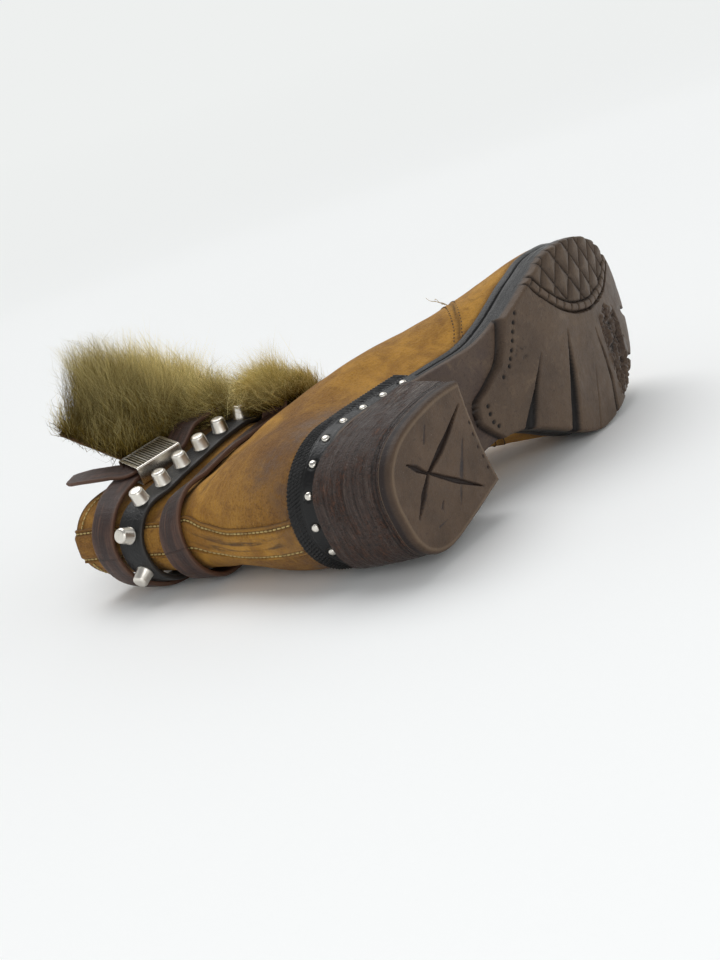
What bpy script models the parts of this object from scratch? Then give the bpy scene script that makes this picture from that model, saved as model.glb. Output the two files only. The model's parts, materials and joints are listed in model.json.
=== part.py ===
"""A fur boot for the right foot, lying on its inner side.

The boot is modelled standing up: toe along +X, inner side along +Y, sole on Z = 0, in millimetres.
One surface function gives the upper, and every band and strap on it takes its shape from that function.
An empty then carries all pieces and lays the boot down on its inner side.
"""

import math

import bmesh
import bpy
import numpy as np
from mathutils import Matrix, Vector

MM = 0.001
GAP = 0.3

# Sections of the upper, each a closed curve through a point of the back and a point of the front.
# Rounds are the lengths over which the curve closes at each end. Arch is the share of the sole's line kept.
SECTION_COLUMNS = (
    "back_x", "back_z", "front_x", "front_z", "back_round", "front_round", "arch", "axis_y",
    "out_heel", "out_waist", "out_ball", "in_heel", "in_waist", "in_ball",
)
SECTIONS = np.array((
    (-0.6, 40.0, 255.8, 24.5, 36, 79, 1.00, 2.5, 28.5, 27.0, 47.5, 28.5, 12.3, 42.8),
    (-6.0, 53.0, 259.5, 36.0, 37, 82, 0.92, 2.5, 32.0, 32.0, 50.0, 32.0, 17.0, 46.5),
    (-8.0, 67.0, 253.0, 50.0, 38, 88, 0.65, 2.5, 33.5, 38.5, 44.0, 33.5, 24.0, 43.0),
    (-8.0, 82.0, 232.0, 61.5, 38, 88, 0.38, 2.5, 33.0, 41.5, 38.5, 33.0, 30.0, 35.5),
    (-6.5, 97.0, 203.0, 73.0, 35, 74, 0.18, 2.8, 30.0, 38.0, 34.5, 30.5, 30.5, 29.5),
    (-5.0, 112.0, 168.0, 90.0, 30, 52, 0.06, 3.5, 25.5, 32.5, 30.0, 27.0, 28.0, 26.0),
    (-5.5, 126.0, 135.0, 112.0, 26, 38, 0.00, 5.0, 21.5, 26.0, 25.0, 24.0, 26.0, 25.0),
    (-8.0, 140.0, 112.0, 136.0, 24, 32, 0.00, 6.3, 17.5, 20.5, 22.5, 21.0, 23.0, 22.5),
    (-11.0, 166.0, 104.0, 166.0, 24, 28, 0.00, 4.5, 17.5, 20.5, 23.5, 21.5, 23.5, 22.5),
    (-13.0, 190.0, 101.0, 190.0, 25, 28, 0.00, 2.8, 20.0, 22.5, 24.5, 22.5, 25.0, 23.5),
    (-14.5, 216.0, 101.0, 212.0, 26, 29, 0.00, 1.5, 24.0, 26.5, 26.0, 24.0, 26.5, 25.0),
    (-15.5, 242.0, 102.0, 238.0, 27, 29, 0.00, 0.5, 25.5, 28.0, 27.0, 25.0, 27.0, 25.5),
))
HEEL_SHARE = 0.15
WAIST_SHARE = 0.42
BALL_SHARE = 0.70
END_POWER = 2.1

# Line of the sole in side view: its top face, the underside of the waist and the underside of the pad.
SOLE_X = (-6, 30, 72, 110, 150, 165, 190, 215, 240, 262)
SOLE_TOP = (40.0, 37.5, 30.0, 20.5, 12.6, 10.8, 10.6, 13.4, 18.9, 26.5)
WAIST_UNDER = (35.5, 33.0, 25.0, 15.0, 7.5, 5.5, 5.5, 8.0, 13.0, 20.0)
PAD_UNDER = (35.5, 33.0, 23.0, 11.0, 1.6, 0.0, 0.0, 2.9, 8.4, 15.6)
WELT_MARGIN = 4.0
SOLE_STATIONS = 46
PAD_START_X = 94.0

# Rear edge of the forefoot pad, from the outer edge to the inner edge of the sole
PAD_EDGE_Y = (-56.0, -41.3, -37.2, -32.1, -25.3, -18.8, -13.8, -10.7, -7.0, -3.7, 4.7, 10.8, 17.1, 40.0)
PAD_EDGE_X = (143.0, 136.3, 131.5, 128.6, 125.2, 121.5, 116.9, 111.2, 104.3, 97.8, 95.8, 99.2, 104.6, 124.0)

# Channels cut in the pad: plan route, width along it and depth
WEDGES = (
    {
        "route": ((143.6, -7.6), (136.5, 2), (121.3, 23.2), (114, 33)),
        "widths": (0.6, 2.2, 6.0, 7.0), "depth": 3.0,
    },
    {
        "route": ((169.7, -8.7), (161.3, 13.9), (150.4, 39.3), (147, 48)),
        "widths": (0.6, 4.6, 5.6, 6.0), "depth": 3.4,
    },
    {
        "route": ((184.5, 18), (178, 32), (171.4, 44.7), (167, 54)),
        "widths": (0.6, 1.0, 1.4, 1.6), "depth": 0.9,
    },
    {
        "route": ((197.3, 1.5), (198, 18.8), (197.2, 31.7), (189, 56)),
        "widths": (0.8, 1.8, 2.4, 3.2), "depth": 2.6,
    },
    {"route": ((262, 18), (251, 11)), "widths": (4.6, 2.8), "depth": 5.0},
    {"route": ((246, 42), (235, 33)), "widths": (4.6, 2.8), "depth": 5.0},
)
# Diamond tread on the outer side of the forefoot: its inner bound and its two families of lines
TREAD_X = (140, 158, 169, 186, 206, 223, 249)
TREAD_Y = (-52, -31, -21, -12, -8, -9, -18)
TREAD_PITCH = 15.0
TREAD_LINES = 7
TREAD_FIRST_X = (155.5, 149.0)
TREAD_SLANT = (0.60, -0.80)
TREAD_WIDTH = 2.0
TREAD_DEPTH = 1.6
TREAD_OUTER_Y = -56.0
TREAD_LEVEL_Y = -40.0
# A channel's mouth and floor as shares of its width, and how far its cutter reaches below the sole
CHANNEL_MOUTH = 1.2
CHANNEL_FLOOR = 0.7
CHANNEL_REACH = 2.0
# Cutter of the waist: how far it starts behind the pad and how far down it reaches
STEP_LEAD = 3.0
STEP_REACH = -20.0

# Heel at its wear face and at its seat: reach of its back, half width, the two corners of its breast,
# its centre and its turn. Corners are measured from the centre.
HEEL_COLUMNS = (
    "back", "half", "outer_x", "outer_y", "inner_x", "inner_y", "centre_x", "centre_y", "turn_deg",
)
HEEL_FACE = (34.0, 29.4, 39.0, -23.1, 35.0, 28.9, 34.5, 1.5, -8.6)
HEEL_SEAT = (38.2, 30.6, 39.3, -29.8, 38.2, 29.5, 28.8, 1.1, -4.8)
HEEL_POWER = 2.64
TOP_PIECE = 6.5
LIFTS = 5
LIFT_GROOVE = 0.7
BREAST_HOLLOW = 2.0
HEEL_SIDES = 26
HEEL_CUTS = (
    {"route": ((63.3, -18.3), (27, -3), (10.6, 9.8)), "widths": (0.7, 3.4, 0.7), "depth": 1.8},
    {"route": ((15.7, -13.2), (27.5, -2.8), (59.9, 20.9)), "widths": (0.7, 2.6, 0.7), "depth": 1.5},
)
# Shares: a point of each side, the points of the breast and each lift's straight edge
SIDE_POINT = 0.56
BREAST_POINTS = (0.22, 0.5, 0.78)
LIFT_EDGE = (0.06, 0.94)
FACE_BEVEL = 0.8

# Insole
INSOLE_MARGIN = 3.0
INSOLE_THICK = 3.0

# Upper
WALL = 2.0
AROUND = 56
UPPER_RINGS = 14
COLLAR_BACK_Z = 199.0
COLLAR_FRONT_Z = 188.0

# Bands on the upper. Places run round it from 0 to 1: back, outer side, front and inner side.
BREAST_OUT = 0.165
BREAST_IN = 0.835
BREAST_GAP = 0.002
BAND_FOOT = 1.6
WELT_HEIGHT = 10.0
WELT_THICK = 1.3
RAND_HEIGHT = 16.2
RAND_THICK = 2.0
STRIP_HALF = 9.0
STRIP_THICK = 1.2
STRIP_LIFT = 0.5
STRIP_COLUMNS = 5
STRIP_ROWS = 16
# The strip's middle as the distance from the back line by climb; it leans in at the heel, out at the ankle
STRIP_SHIFT = (
    (16.0, -3.2), (34.0, -4.6), (55.0, -5.0), (75.0, -1.5), (90.0, 4.5), (115.0, 5.0), (165.0, 3.0),
)
TACKS = 15
TACK_REACH = 0.152
TACK_CLIMB = 5.2
# Heads: base radius, top radius and height
TACK_SIZE = (1.95, 1.2, 1.2)
TACK_SIDES = 8

# Straps round the shaft. Their tables run from the front round the inner side, the back and the outer side.
STRAP_WIDTH = 14.0
STRAP_THICK = 2.4
STUD_STRAP_WIDTH = 15.0
STUD_STRAP_ENDS = (-0.165, 0.42)
# Height of each strap's middle by place
UPPER_STRAP_HEIGHT = (
    (-0.5, 176.0), (-0.34, 175.0), (-0.25, 171.0), (-0.14, 165.0), (-0.09, 166.5), (-0.04, 172.0),
    (0.0, 173.5), (0.05, 174.5), (0.1, 178.0), (0.16, 181.8), (0.215, 178.5), (0.26, 174.5), (0.31, 175.5),
    (0.5, 176.0),
)
LOWER_STRAP_HEIGHT = ((-0.5, 131.0), (0.0, 132.0), (0.5, 131.0))
STUD_STRAP_HEIGHT = ((-0.5, 156.0), (0.0, 158.0), (0.5, 156.0))
# Lift of each strap off the upper by place, as it hangs loose or passes over strip, buckle, fur and zip
UPPER_STRAP_LIFT = (
    (-0.5, 8.2), (-0.34, 8.2), (-0.31, 4.8), (-0.13, 4.6), (-0.08, 5.0), (-0.04, 4.6), (0.06, 4.6),
    (0.11, 4.2), (0.152, 3.8), (0.2, 3.1), (0.235, 3.1), (0.265, 3.6), (0.31, 8.2), (0.5, 8.2),
)
LOWER_STRAP_LIFT = (
    (-0.5, 8.2), (-0.34, 8.2), (-0.31, 3.4), (-0.195, 3.4), (-0.165, 0.9), (-0.12, 0.9), (-0.08, 2.2),
    (0.08, 2.2), (0.12, 0.9), (0.35, 0.9), (0.372, 8.2), (0.5, 8.2),
)
STUD_STRAP_LIFT = ((-0.5, 0.9), (-0.12, 0.9), (-0.08, 2.2), (0.08, 2.2), (0.12, 0.9), (0.5, 0.9))
STUDS = 8
STUD_FIRST = 0.379
STUD_PITCH = 0.0585
STUD_SIZE = (4.4, 3.65, 6.9)
STUD_SIDES = 12

# Buckle: a ribbed sleeve round the upper strap, and the strap's free end through it.
# The free end's route is measured from the buckle: forwards, up and outwards.
BUCKLE_PLACE = 0.213
BUCKLE_REACH = 0.04
BUCKLE_LENGTH = 27.0
BUCKLE_WIDTH = 20.0
BUCKLE_DEPTH = 10.0
BUCKLE_WALL = 1.2
BUCKLE_SEAT = 0.6
TAIL_WIDTH = 12.5
TAIL_THICK = 2.0
TAIL_LEVEL = 7.3
TAIL_ROUTE = (
    (10.0, 0.0, 0.0), (-14.0, 0.0, 0.0), (-21.0, 5.0, 1.5), (-29.0, 14.0, 2.0), (-36.0, 24.0, 1.0),
)
TAIL_SHARES = (1.0, 1.0, 1.0, 1.0, 0.55)

# Fur over the front of the shaft, a row for each level: height, depth of fur, its two edges and its flare
FUR_COLUMNS = ("height", "depth", "outer_edge", "inner_edge", "flare")
FUR_ROWS = (
    (121.0, 5.0, 0.410, 0.625, 0.0),
    (124.0, 4.0, 0.405, 0.630, 0.0),
    (131.5, 4.0, 0.400, 0.635, 0.0),
    (139.5, 4.0, 0.398, 0.640, 0.0),
    (142.5, 14.0, 0.402, 0.640, 0.0),
    (149.0, 26.0, 0.404, 0.645, 0.0),
    (156.0, 30.0, 0.404, 0.645, 0.0),
    (163.0, 26.0, 0.400, 0.645, 0.0),
    (167.5, 14.0, 0.385, 0.645, 0.0),
    (168.5, 4.0, 0.370, 0.645, 0.0),
    (176.5, 4.0, 0.340, 0.645, 0.0),
    (184.5, 4.0, 0.320, 0.645, 0.0),
    (187.5, 16.0, 0.285, 0.645, 0.0),
    (194.0, 31.0, 0.206, 0.645, 1.5),
    (206.0, 40.0, 0.200, 0.645, 7.0),
    (218.0, 45.0, 0.198, 0.645, 12.5),
    (230.0, 43.0, 0.198, 0.645, 18.0),
)
# Share of the depth across the fur, from its outer to its inner edge
FUR_SWELL = ((0.0, 0.3), (0.1, 0.95), (0.5, 0.85), (0.8, 0.3), (1.0, 0.0))
FUR_ACROSS = 25
FUR_LIFT = 3.6
FUR_EDGE = 4.0
FUR_INNER_EDGE = 1.2
FUR_LOCK = 0.55
FUR_COMB = 9.0
# Shares across the fur over which its flare fades out
FLARE_FADE = (0.3, 0.85)

# Zip up the inner side
ZIP_FOOT = (0.82, 52.0)
ZIP_HEAD = (0.735, 190.0)
ZIP_TAPE = 11.0
ZIP_TAPE_THICK = 1.0
ZIP_TEETH = 4.5
ZIP_TEETH_THICK = 2.2
ZIP_RINGS = 16

# Densities in grams per cubic centimetre, for the centre of weight
DENSITY = {"outsole": 1.1, "heel_top_piece": 1.1, "fur_panel": 0.15, "buckle": 7.8, "zip": 2.0}
LEATHER_DENSITY = 0.9
STEEL_DENSITY = 7.8

# Faces that meet at more than this angle keep a sharp edge
SHARP_DEG = 35
# Colour, roughness and metallic share of each material
MATERIALS = {
    "outsole_rubber": ((0.105, 0.075, 0.06), 0.6, 0.0),
    "heel_rubber": ((0.115, 0.085, 0.068), 0.65, 0.0),
    "stacked_leather": ((0.05, 0.028, 0.022), 0.55, 0.0),
    "insole_leather": ((0.35, 0.24, 0.14), 0.8, 0.0),
    "tan_suede": ((0.37, 0.17, 0.035), 0.8, 0.0),
    "strip_suede": ((0.34, 0.16, 0.04), 0.8, 0.0),
    "black_welt": ((0.012, 0.012, 0.013), 0.4, 0.0),
    "black_rand": ((0.014, 0.014, 0.015), 0.45, 0.0),
    "tack_steel": ((0.62, 0.6, 0.57), 0.3, 1.0),
    "brown_strap": ((0.05, 0.026, 0.022), 0.45, 0.0),
    "black_strap": ((0.013, 0.012, 0.013), 0.4, 0.0),
    "stud_steel": ((0.66, 0.63, 0.6), 0.25, 1.0),
    "olive_fur": ((0.3, 0.22, 0.1), 0.95, 0.0),
    "buckle_steel": ((0.6, 0.58, 0.55), 0.28, 1.0),
    "zip_teeth": ((0.35, 0.34, 0.33), 0.4, 0.6),
}

PIECES = bpy.data.collections.new("fur_boot")
CUTTERS = bpy.data.collections.new("fur_boot_cutters")


def smooth(places, values, x):
    """Curve through a table that never overshoots a row."""
    places = np.asarray(places, float)
    values = np.asarray(values, float)
    x = np.clip(x, places[0], places[-1])
    slopes = np.diff(values) / np.diff(places)
    before, after = slopes[:-1], slopes[1:]
    turning = before * after <= 0
    total = np.where(turning, 1.0, before + after)
    inner = np.where(turning, 0.0, 2 * before * after / total)
    tangents = np.concatenate([slopes[:1], inner, slopes[-1:]])
    i = np.clip(np.searchsorted(places, x, side="right") - 1, 0, len(places) - 2)
    step = places[i + 1] - places[i]
    t = (x - places[i]) / step
    start = (1 + 2 * t) * (1 - t) ** 2 * values[i] + t * (1 - t) ** 2 * step * tangents[i]
    end = t * t * (3 - 2 * t) * values[i + 1] + t * t * (t - 1) * step * tangents[i + 1]
    return start + end


def section_row(v):
    """Section sizes at row v of the table, eased between rows."""
    i = min(int(v), len(SECTIONS) - 2)
    t = v - i
    here, there = SECTIONS[i], SECTIONS[i + 1]
    before = SECTIONS[i - 1] if i > 0 else 2 * here - there
    after = SECTIONS[i + 2] if i + 2 < len(SECTIONS) else 2 * there - here
    start = (1 + 2 * t) * (1 - t) ** 2 * here + t * (1 - t) ** 2 * (there - before) / 2
    end = t * t * (3 - 2 * t) * there + t * t * (t - 1) * (after - here) / 2
    return dict(zip(SECTION_COLUMNS, start + end))


def end_round(distance, length):
    """Share of the full width left at this distance from a rounded end."""
    share = np.clip(distance / length, 0, 1)
    return (1 - (1 - share) ** END_POWER) ** (1 / END_POWER)


def half_width(row, side, share):
    """Half width of a section along its chord, before its ends close."""
    heel, waist, ball = (row[f"{side}_{name}"] for name in ("heel", "waist", "ball"))
    return smooth((0, HEEL_SHARE, WAIST_SHARE, BALL_SHARE, 1), (heel, heel, waist, ball, ball), share)


def section(v, half=128, dense=400):
    """Closed curve of the upper at row v: back, outer side, front, inner side, evenly spaced on each side."""
    row = section_row(v)
    foot = dict(zip(SECTION_COLUMNS, SECTIONS[0]))
    share = (1 - np.cos(np.linspace(0, np.pi, dense))) / 2
    length = row["front_x"] - row["back_x"]
    x = row["back_x"] + share * length
    foot_share = (x - foot["back_x"]) / (foot["front_x"] - foot["back_x"])
    foot_chord = foot["back_z"] + foot_share * (foot["front_z"] - foot["back_z"])
    chord = row["back_z"] + share * (row["front_z"] - row["back_z"])
    z = chord + row["arch"] * (smooth(SOLE_X, SOLE_TOP, x) - foot_chord)
    ends = end_round(share * length, row["back_round"]) * end_round((1 - share) * length, row["front_round"])
    sides = []
    for side, sign in (("out", -1), ("in", 1)):
        y = row["axis_y"] + sign * half_width(row, side, share) * ends
        points = np.stack([x, y, z], axis=1)
        run = np.concatenate([[0], np.cumsum(np.linalg.norm(np.diff(points, axis=0), axis=1))])
        even = np.linspace(0, run[-1], half + 1)
        sides.append(np.stack([np.interp(even, run, points[:, k]) for k in range(3)], axis=1))
    return np.concatenate([sides[0], sides[1][-2:0:-1]])


class Surface:
    """The outer face of the upper, read by place round it (0 to 1 from the back) and by section row."""

    def __init__(self, rows_per_section=8):
        self.rows = np.arange((len(SECTIONS) - 1) * rows_per_section + 1) / rows_per_section
        self.points = np.array([section(v) for v in self.rows])
        along = np.roll(self.points, -1, axis=1) - np.roll(self.points, 1, axis=1)
        up = np.gradient(self.points, axis=0)
        normals = np.cross(along, up)
        self.normals = normals / np.linalg.norm(normals, axis=2, keepdims=True)

    def column(self, values, place):
        """A grid's values up the boot at one place round it."""
        count = values.shape[1]
        at = (place % 1.0) * count
        first = int(at) % count
        share = at - int(at)
        return values[:, first] * (1 - share) + values[:, (first + 1) % count] * share

    def read(self, place, row, offset=0.0):
        """Point at a place and row, moved off the surface by an offset."""
        points = self.column(self.points, place)
        normals = self.column(self.normals, place)
        point = np.array([np.interp(row, self.rows, points[:, k]) for k in range(3)])
        normal = np.array([np.interp(row, self.rows, normals[:, k]) for k in range(3)])
        return point + offset * normal / np.linalg.norm(normal)

    def normal(self, place, row):
        """Outward direction at a place and row."""
        step = self.read(place, row, 1.0) - self.read(place, row)
        return step / np.linalg.norm(step)

    def row_at_height(self, place, height):
        """Section row where the surface reaches a height."""
        return float(np.interp(height, self.column(self.points, place)[:, 2], self.rows))

    def row_at_climb(self, place, climb):
        """Section row at a distance along the surface from the sole's edge."""
        points = self.column(self.points, place)
        run = np.concatenate([[0], np.cumsum(np.linalg.norm(np.diff(points, axis=0), axis=1))])
        return float(np.interp(climb, run, self.rows))


SURFACE = Surface()


def paint(name):
    """Material from the table, made once."""
    found = bpy.data.materials.get(name)
    if found:
        return found
    colour, roughness, metallic = MATERIALS[name]
    material = bpy.data.materials.new(name)
    material.use_nodes = True
    shader = material.node_tree.nodes["Principled BSDF"]
    shader.inputs["Base Color"].default_value = (*colour, 1.0)
    shader.inputs["Roughness"].default_value = roughness
    shader.inputs["Metallic"].default_value = metallic
    return material


def add_mesh(name, points, faces, material=None, cutter=False):
    """Object from points in millimetres, with doubles welded and faces turned out."""
    mesh = bpy.data.meshes.new(name)
    mesh.from_pydata([Vector(p) * MM for p in points], [], faces)
    shape = bmesh.new()
    shape.from_mesh(mesh)
    bmesh.ops.remove_doubles(shape, verts=shape.verts, dist=1e-6)
    bmesh.ops.dissolve_degenerate(shape, edges=shape.edges, dist=1e-7)
    bmesh.ops.recalc_face_normals(shape, faces=shape.faces)
    shape.to_mesh(mesh)
    shape.free()
    obj = bpy.data.objects.new(name, mesh)
    if cutter:
        CUTTERS.objects.link(obj)
        obj.hide_render = True
        obj.display_type = "WIRE"
    else:
        PIECES.objects.link(obj)
        mesh.materials.append(material)
        mesh.shade_smooth()
        mesh.set_sharp_from_angle(angle=math.radians(SHARP_DEG))
    return obj


def grid_faces(columns, rows, closed, start=0):
    """Quads of a grid whose points are listed column by column."""
    faces = []
    for i in range(columns if closed else columns - 1):
        for j in range(rows - 1):
            here = start + i * rows + j
            there = start + (i + 1) % columns * rows + j
            faces.append((here, there, there + 1, here + 1))
    return faces


def sheet(name, grid, thickness, material, closed=False):
    """A shell of one thickness, standing out from a grid of points on the upper."""
    columns, rows = len(grid), len(grid[0])
    points = [p for column in grid for p in column]
    faces = grid_faces(columns, rows, closed)
    mesh = bpy.data.meshes.new(name)
    mesh.from_pydata([Vector(p) * MM for p in points], [], faces)
    obj = bpy.data.objects.new(name, mesh)
    PIECES.objects.link(obj)
    mesh.materials.append(material)
    mesh.shade_smooth()
    shell = obj.modifiers.new("thickness", "SOLIDIFY")
    shell.thickness = abs(thickness) * MM
    shell.offset = 1.0 if thickness > 0 else -1.0
    shell.use_even_offset = True
    shell.use_quality_normals = True
    return obj


def loft(name, rings, material=None, cutter=False):
    """Closed solid through rings of equal count, capped at both ends."""
    count = len(rings[0])
    points = [p for ring in rings for p in ring]
    faces = []
    for k in range(len(rings) - 1):
        for i in range(count):
            j = (i + 1) % count
            faces.append((k * count + i, k * count + j, (k + 1) * count + j, (k + 1) * count + i))
    faces.append(tuple(range(count))[::-1])
    faces.append(tuple(range((len(rings) - 1) * count, len(rings) * count)))
    return add_mesh(name, points, faces, material, cutter)


def cut(obj, name, cutters):
    """Takes a set of cutters out of a piece."""
    group = bpy.data.collections.new(name)
    CUTTERS.children.link(group)
    for cutter in cutters:
        CUTTERS.objects.unlink(cutter)
        group.objects.link(cutter)
    modifier = obj.modifiers.new(name, "BOOLEAN")
    modifier.operation = "DIFFERENCE"
    modifier.operand_type = "COLLECTION"
    modifier.collection = group
    modifier.solver = "EXACT"


# Sole and heel


def sole_stations(margin):
    """Stations along the sole's outline: x, outer edge and inner edge, with a margin past the upper."""
    row = section_row(0.0)
    back, front = row["back_x"] - margin, row["front_x"] + margin
    share = (1 - np.cos(np.linspace(0, np.pi, SOLE_STATIONS))) / 2
    x = back + share * (front - back)
    fixed = np.array([PAD_START_X - 0.2, PAD_START_X, SOLE_X[5], SOLE_X[6]])
    x = np.unique(np.concatenate([x[np.abs(x[:, None] - fixed).min(axis=1) > 1.5], fixed]))
    share = (x - back) / (front - back)
    ends = end_round(x - back, row["back_round"] + margin) * end_round(front - x, row["front_round"] + margin)
    outer = row["axis_y"] - (half_width(row, "out", share) + margin) * ends
    inner = row["axis_y"] + (half_width(row, "in", share) + margin) * ends
    return np.stack([x, outer, inner], axis=1)


def plate(name, stations, under, over, material):
    """Solid between two lines in side view, over an outline given by stations."""
    points = []
    for x, outer, inner in stations:
        low, high = under(x), over(x)
        points += [(x, outer, low), (x, inner, low), (x, inner, high), (x, outer, high)]
    faces = []
    for i in range(len(stations) - 1):
        for k in range(4):
            here, turn = i * 4 + k, i * 4 + (k + 1) % 4
            faces.append((here, turn, turn + 4, here + 4))
    return add_mesh(name, points, faces, material)


def sole_under(x):
    """Underside of the outsole: waist behind the pad, pad in front of its start."""
    return float(smooth(SOLE_X, WAIST_UNDER if x < PAD_START_X - 0.1 else PAD_UNDER, x))


def sole_over(x):
    """Top face of the outsole."""
    return float(smooth(SOLE_X, SOLE_TOP, x)) - GAP


def channel(name, route, widths, depth, under):
    """Cutter for a channel along a plan route: flat floor, sloped sides."""
    rings = []
    for i, (x, y) in enumerate(route):
        ahead = np.subtract(route[min(i + 1, len(route) - 1)], route[max(i - 1, 0)])
        across = np.array([-ahead[1], ahead[0]]) / np.hypot(*ahead)
        floor = under(x) + depth
        mouth = under(x) - CHANNEL_REACH
        corners = ((-1, mouth, CHANNEL_MOUTH), (1, mouth, CHANNEL_MOUTH), (1, floor, CHANNEL_FLOOR))
        ring = []
        for side, level, share in (*corners, (-1, floor, CHANNEL_FLOOR)):
            at = np.array([x, y]) + across * side * share * widths[i] / 2
            ring.append((at[0], at[1], level))
        rings.append(ring)
    return loft(name, rings, cutter=True)


def waist_step():
    """Cutter that leaves the waist thin behind the pad's rear edge."""
    reach = np.linspace(0, 1, 7)
    grid = []
    for x_edge, y in zip(PAD_EDGE_X, PAD_EDGE_Y):
        xs = PAD_START_X - STEP_LEAD + reach * (x_edge - PAD_START_X + STEP_LEAD)
        over = [(x, y, float(smooth(SOLE_X, WAIST_UNDER, x))) for x in xs]
        under = [(x, y, STEP_REACH) for x in xs[::-1]]
        grid.append(over + under)
    return loft("waist_step", grid, cutter=True)


def pad_under(x):
    """Underside of the forefoot pad."""
    return float(smooth(SOLE_X, PAD_UNDER, x))


def tread_cutters():
    """Two families of slanting channels that leave diamonds, and the channel that bounds them."""
    cutters = []
    for family, (first, slant) in enumerate(zip(TREAD_FIRST_X, TREAD_SLANT)):
        for k in range(TREAD_LINES):
            level_x = first + k * TREAD_PITCH
            ys = np.linspace(TREAD_OUTER_Y, 0.0, 57)
            xs = level_x + slant * (ys - TREAD_LEVEL_Y)
            inside = ys < np.interp(xs, TREAD_X, TREAD_Y)
            route = list(zip(xs[inside], ys[inside]))
            picked = route[:: max(1, len(route) // 4)] + route[-1:]
            route = [p for i, p in enumerate(picked) if i == 0 or p != picked[i - 1]]
            name = f"tread_{family}_{k}"
            cutters.append(channel(name, route, [TREAD_WIDTH] * len(route), TREAD_DEPTH, pad_under))
    bound = list(zip(TREAD_X, TREAD_Y))
    cutters.append(channel("tread_bound", bound, [TREAD_WIDTH] * len(bound), TREAD_DEPTH, pad_under))
    return cutters


def make_outsole():
    """Outsole with its thin waist, the pad's wedges and the diamond tread."""
    obj = plate("outsole", sole_stations(WELT_MARGIN), sole_under, sole_over, paint("outsole_rubber"))
    cut(obj, "waist_cut", [waist_step()])
    wedges = []
    for k, wedge in enumerate(WEDGES):
        wedges.append(channel(f"wedge_{k}", wedge["route"], wedge["widths"], wedge["depth"], pad_under))
    cut(obj, "wedge_cut", wedges)
    cut(obj, "tread_cut", tread_cutters())


def heel_outline(share, inset):
    """Plan outline of the heel at a share of its height: round back, bowed sides, hollow breast."""
    level = dict(zip(HEEL_COLUMNS, (1 - share) * np.array(HEEL_FACE) + share * np.array(HEEL_SEAT)))
    turn = np.linspace(-math.pi / 2, math.pi / 2, HEEL_SIDES - 7)
    back_x = -level["back"] * np.abs(np.cos(turn)) ** (2 / HEEL_POWER)
    back_y = level["half"] * np.sign(np.sin(turn)) * np.abs(np.sin(turn)) ** (2 / HEEL_POWER)
    reach = np.array((SIDE_POINT, 1.0))
    outer_x, inner_x = level["outer_x"] * reach, level["inner_x"] * reach
    outer_y = -level["half"] + (level["outer_y"] + level["half"]) * reach**2
    inner_y = level["half"] + (level["inner_y"] - level["half"]) * reach**2
    along = np.array(BREAST_POINTS)
    hollow = BREAST_HOLLOW * (1 - (2 * along - 1) ** 2)
    breast_x = inner_x[1] + along * (outer_x[1] - inner_x[1]) - hollow
    breast_y = inner_y[1] + along * (outer_y[1] - inner_y[1])
    x = np.concatenate([outer_x[::-1], back_x, inner_x, breast_x]) * (1 - inset / level["back"])
    y = np.concatenate([outer_y[::-1], back_y, inner_y, breast_y]) * (1 - inset / level["half"])
    turn = math.radians(level["turn_deg"])
    return np.stack([
        level["centre_x"] + x * math.cos(turn) - y * math.sin(turn),
        level["centre_y"] + x * math.sin(turn) + y * math.cos(turn),
    ], axis=1)


def heel_floor(x):
    """Level of the heel's wear face."""
    return 0.0


def make_heel():
    """Stack of lifts with a groove between each two, and the wear face with its cuts."""
    base = TOP_PIECE + GAP
    rings = []
    for k in range(LIFTS):
        for share, inset in ((LIFT_EDGE[0], 0.0), (LIFT_EDGE[1], 0.0), (1.0, LIFT_GROOVE)):
            f = (k + share) / LIFTS
            outline = heel_outline(f, inset if f < 1 else 0.0)
            tops = [sole_under(x) - GAP for x, _ in outline]
            rings.append([(x, y, base + f * (top - base)) for (x, y), top in zip(outline, tops)])
    rings[0] = [(x, y, base) for x, y in heel_outline(0.0, 0.0)]
    loft("heel_stack", rings, paint("stacked_leather"))
    outline = heel_outline(0.0, 0.0)
    edge = heel_outline(0.0, FACE_BEVEL)
    face = loft("heel_top_piece", [
        [(x, y, 0.0) for x, y in edge],
        [(x, y, FACE_BEVEL) for x, y in outline],
        [(x, y, TOP_PIECE) for x, y in outline],
    ], paint("heel_rubber"))
    cutters = []
    for k, slash in enumerate(HEEL_CUTS):
        cutters.append(channel(f"heel_cut_{k}", slash["route"], slash["widths"], slash["depth"], heel_floor))
    cut(face, "heel_cuts", cutters)


def insole_under(x):
    """Underside of the insole, on the line of the sole's top."""
    return float(smooth(SOLE_X, SOLE_TOP, x))


def insole_over(x):
    """Top face of the insole."""
    return insole_under(x) + INSOLE_THICK


def make_insole():
    """Board inside the upper."""
    plate("insole", sole_stations(-INSOLE_MARGIN), insole_under, insole_over, paint("insole_leather"))


# Upper and what is sewn on it


def collar_height(place):
    """Height of the collar, highest at the back."""
    share = (1 + math.cos(2 * math.pi * place)) / 2
    return COLLAR_FRONT_Z + (COLLAR_BACK_Z - COLLAR_FRONT_Z) * share**1.5


def make_upper():
    """Upper as one hollow shell, open at the collar and over the insole."""
    grid = []
    for i in range(AROUND):
        place = i / AROUND
        top = SURFACE.row_at_height(place, collar_height(place))
        grid.append([SURFACE.read(place, top * k / (UPPER_RINGS - 1)) for k in range(UPPER_RINGS)])
    sheet("upper", grid, -WALL, paint("tan_suede"), closed=True)


def band_grid(places, low, high, lift, across=2):
    """Points of a band on the upper between two rows at each place."""
    grid = []
    for place in places:
        rows = np.linspace(low(place), high(place), across)
        grid.append([SURFACE.read(place, row, lift(place)) for row in rows])
    return grid


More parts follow.
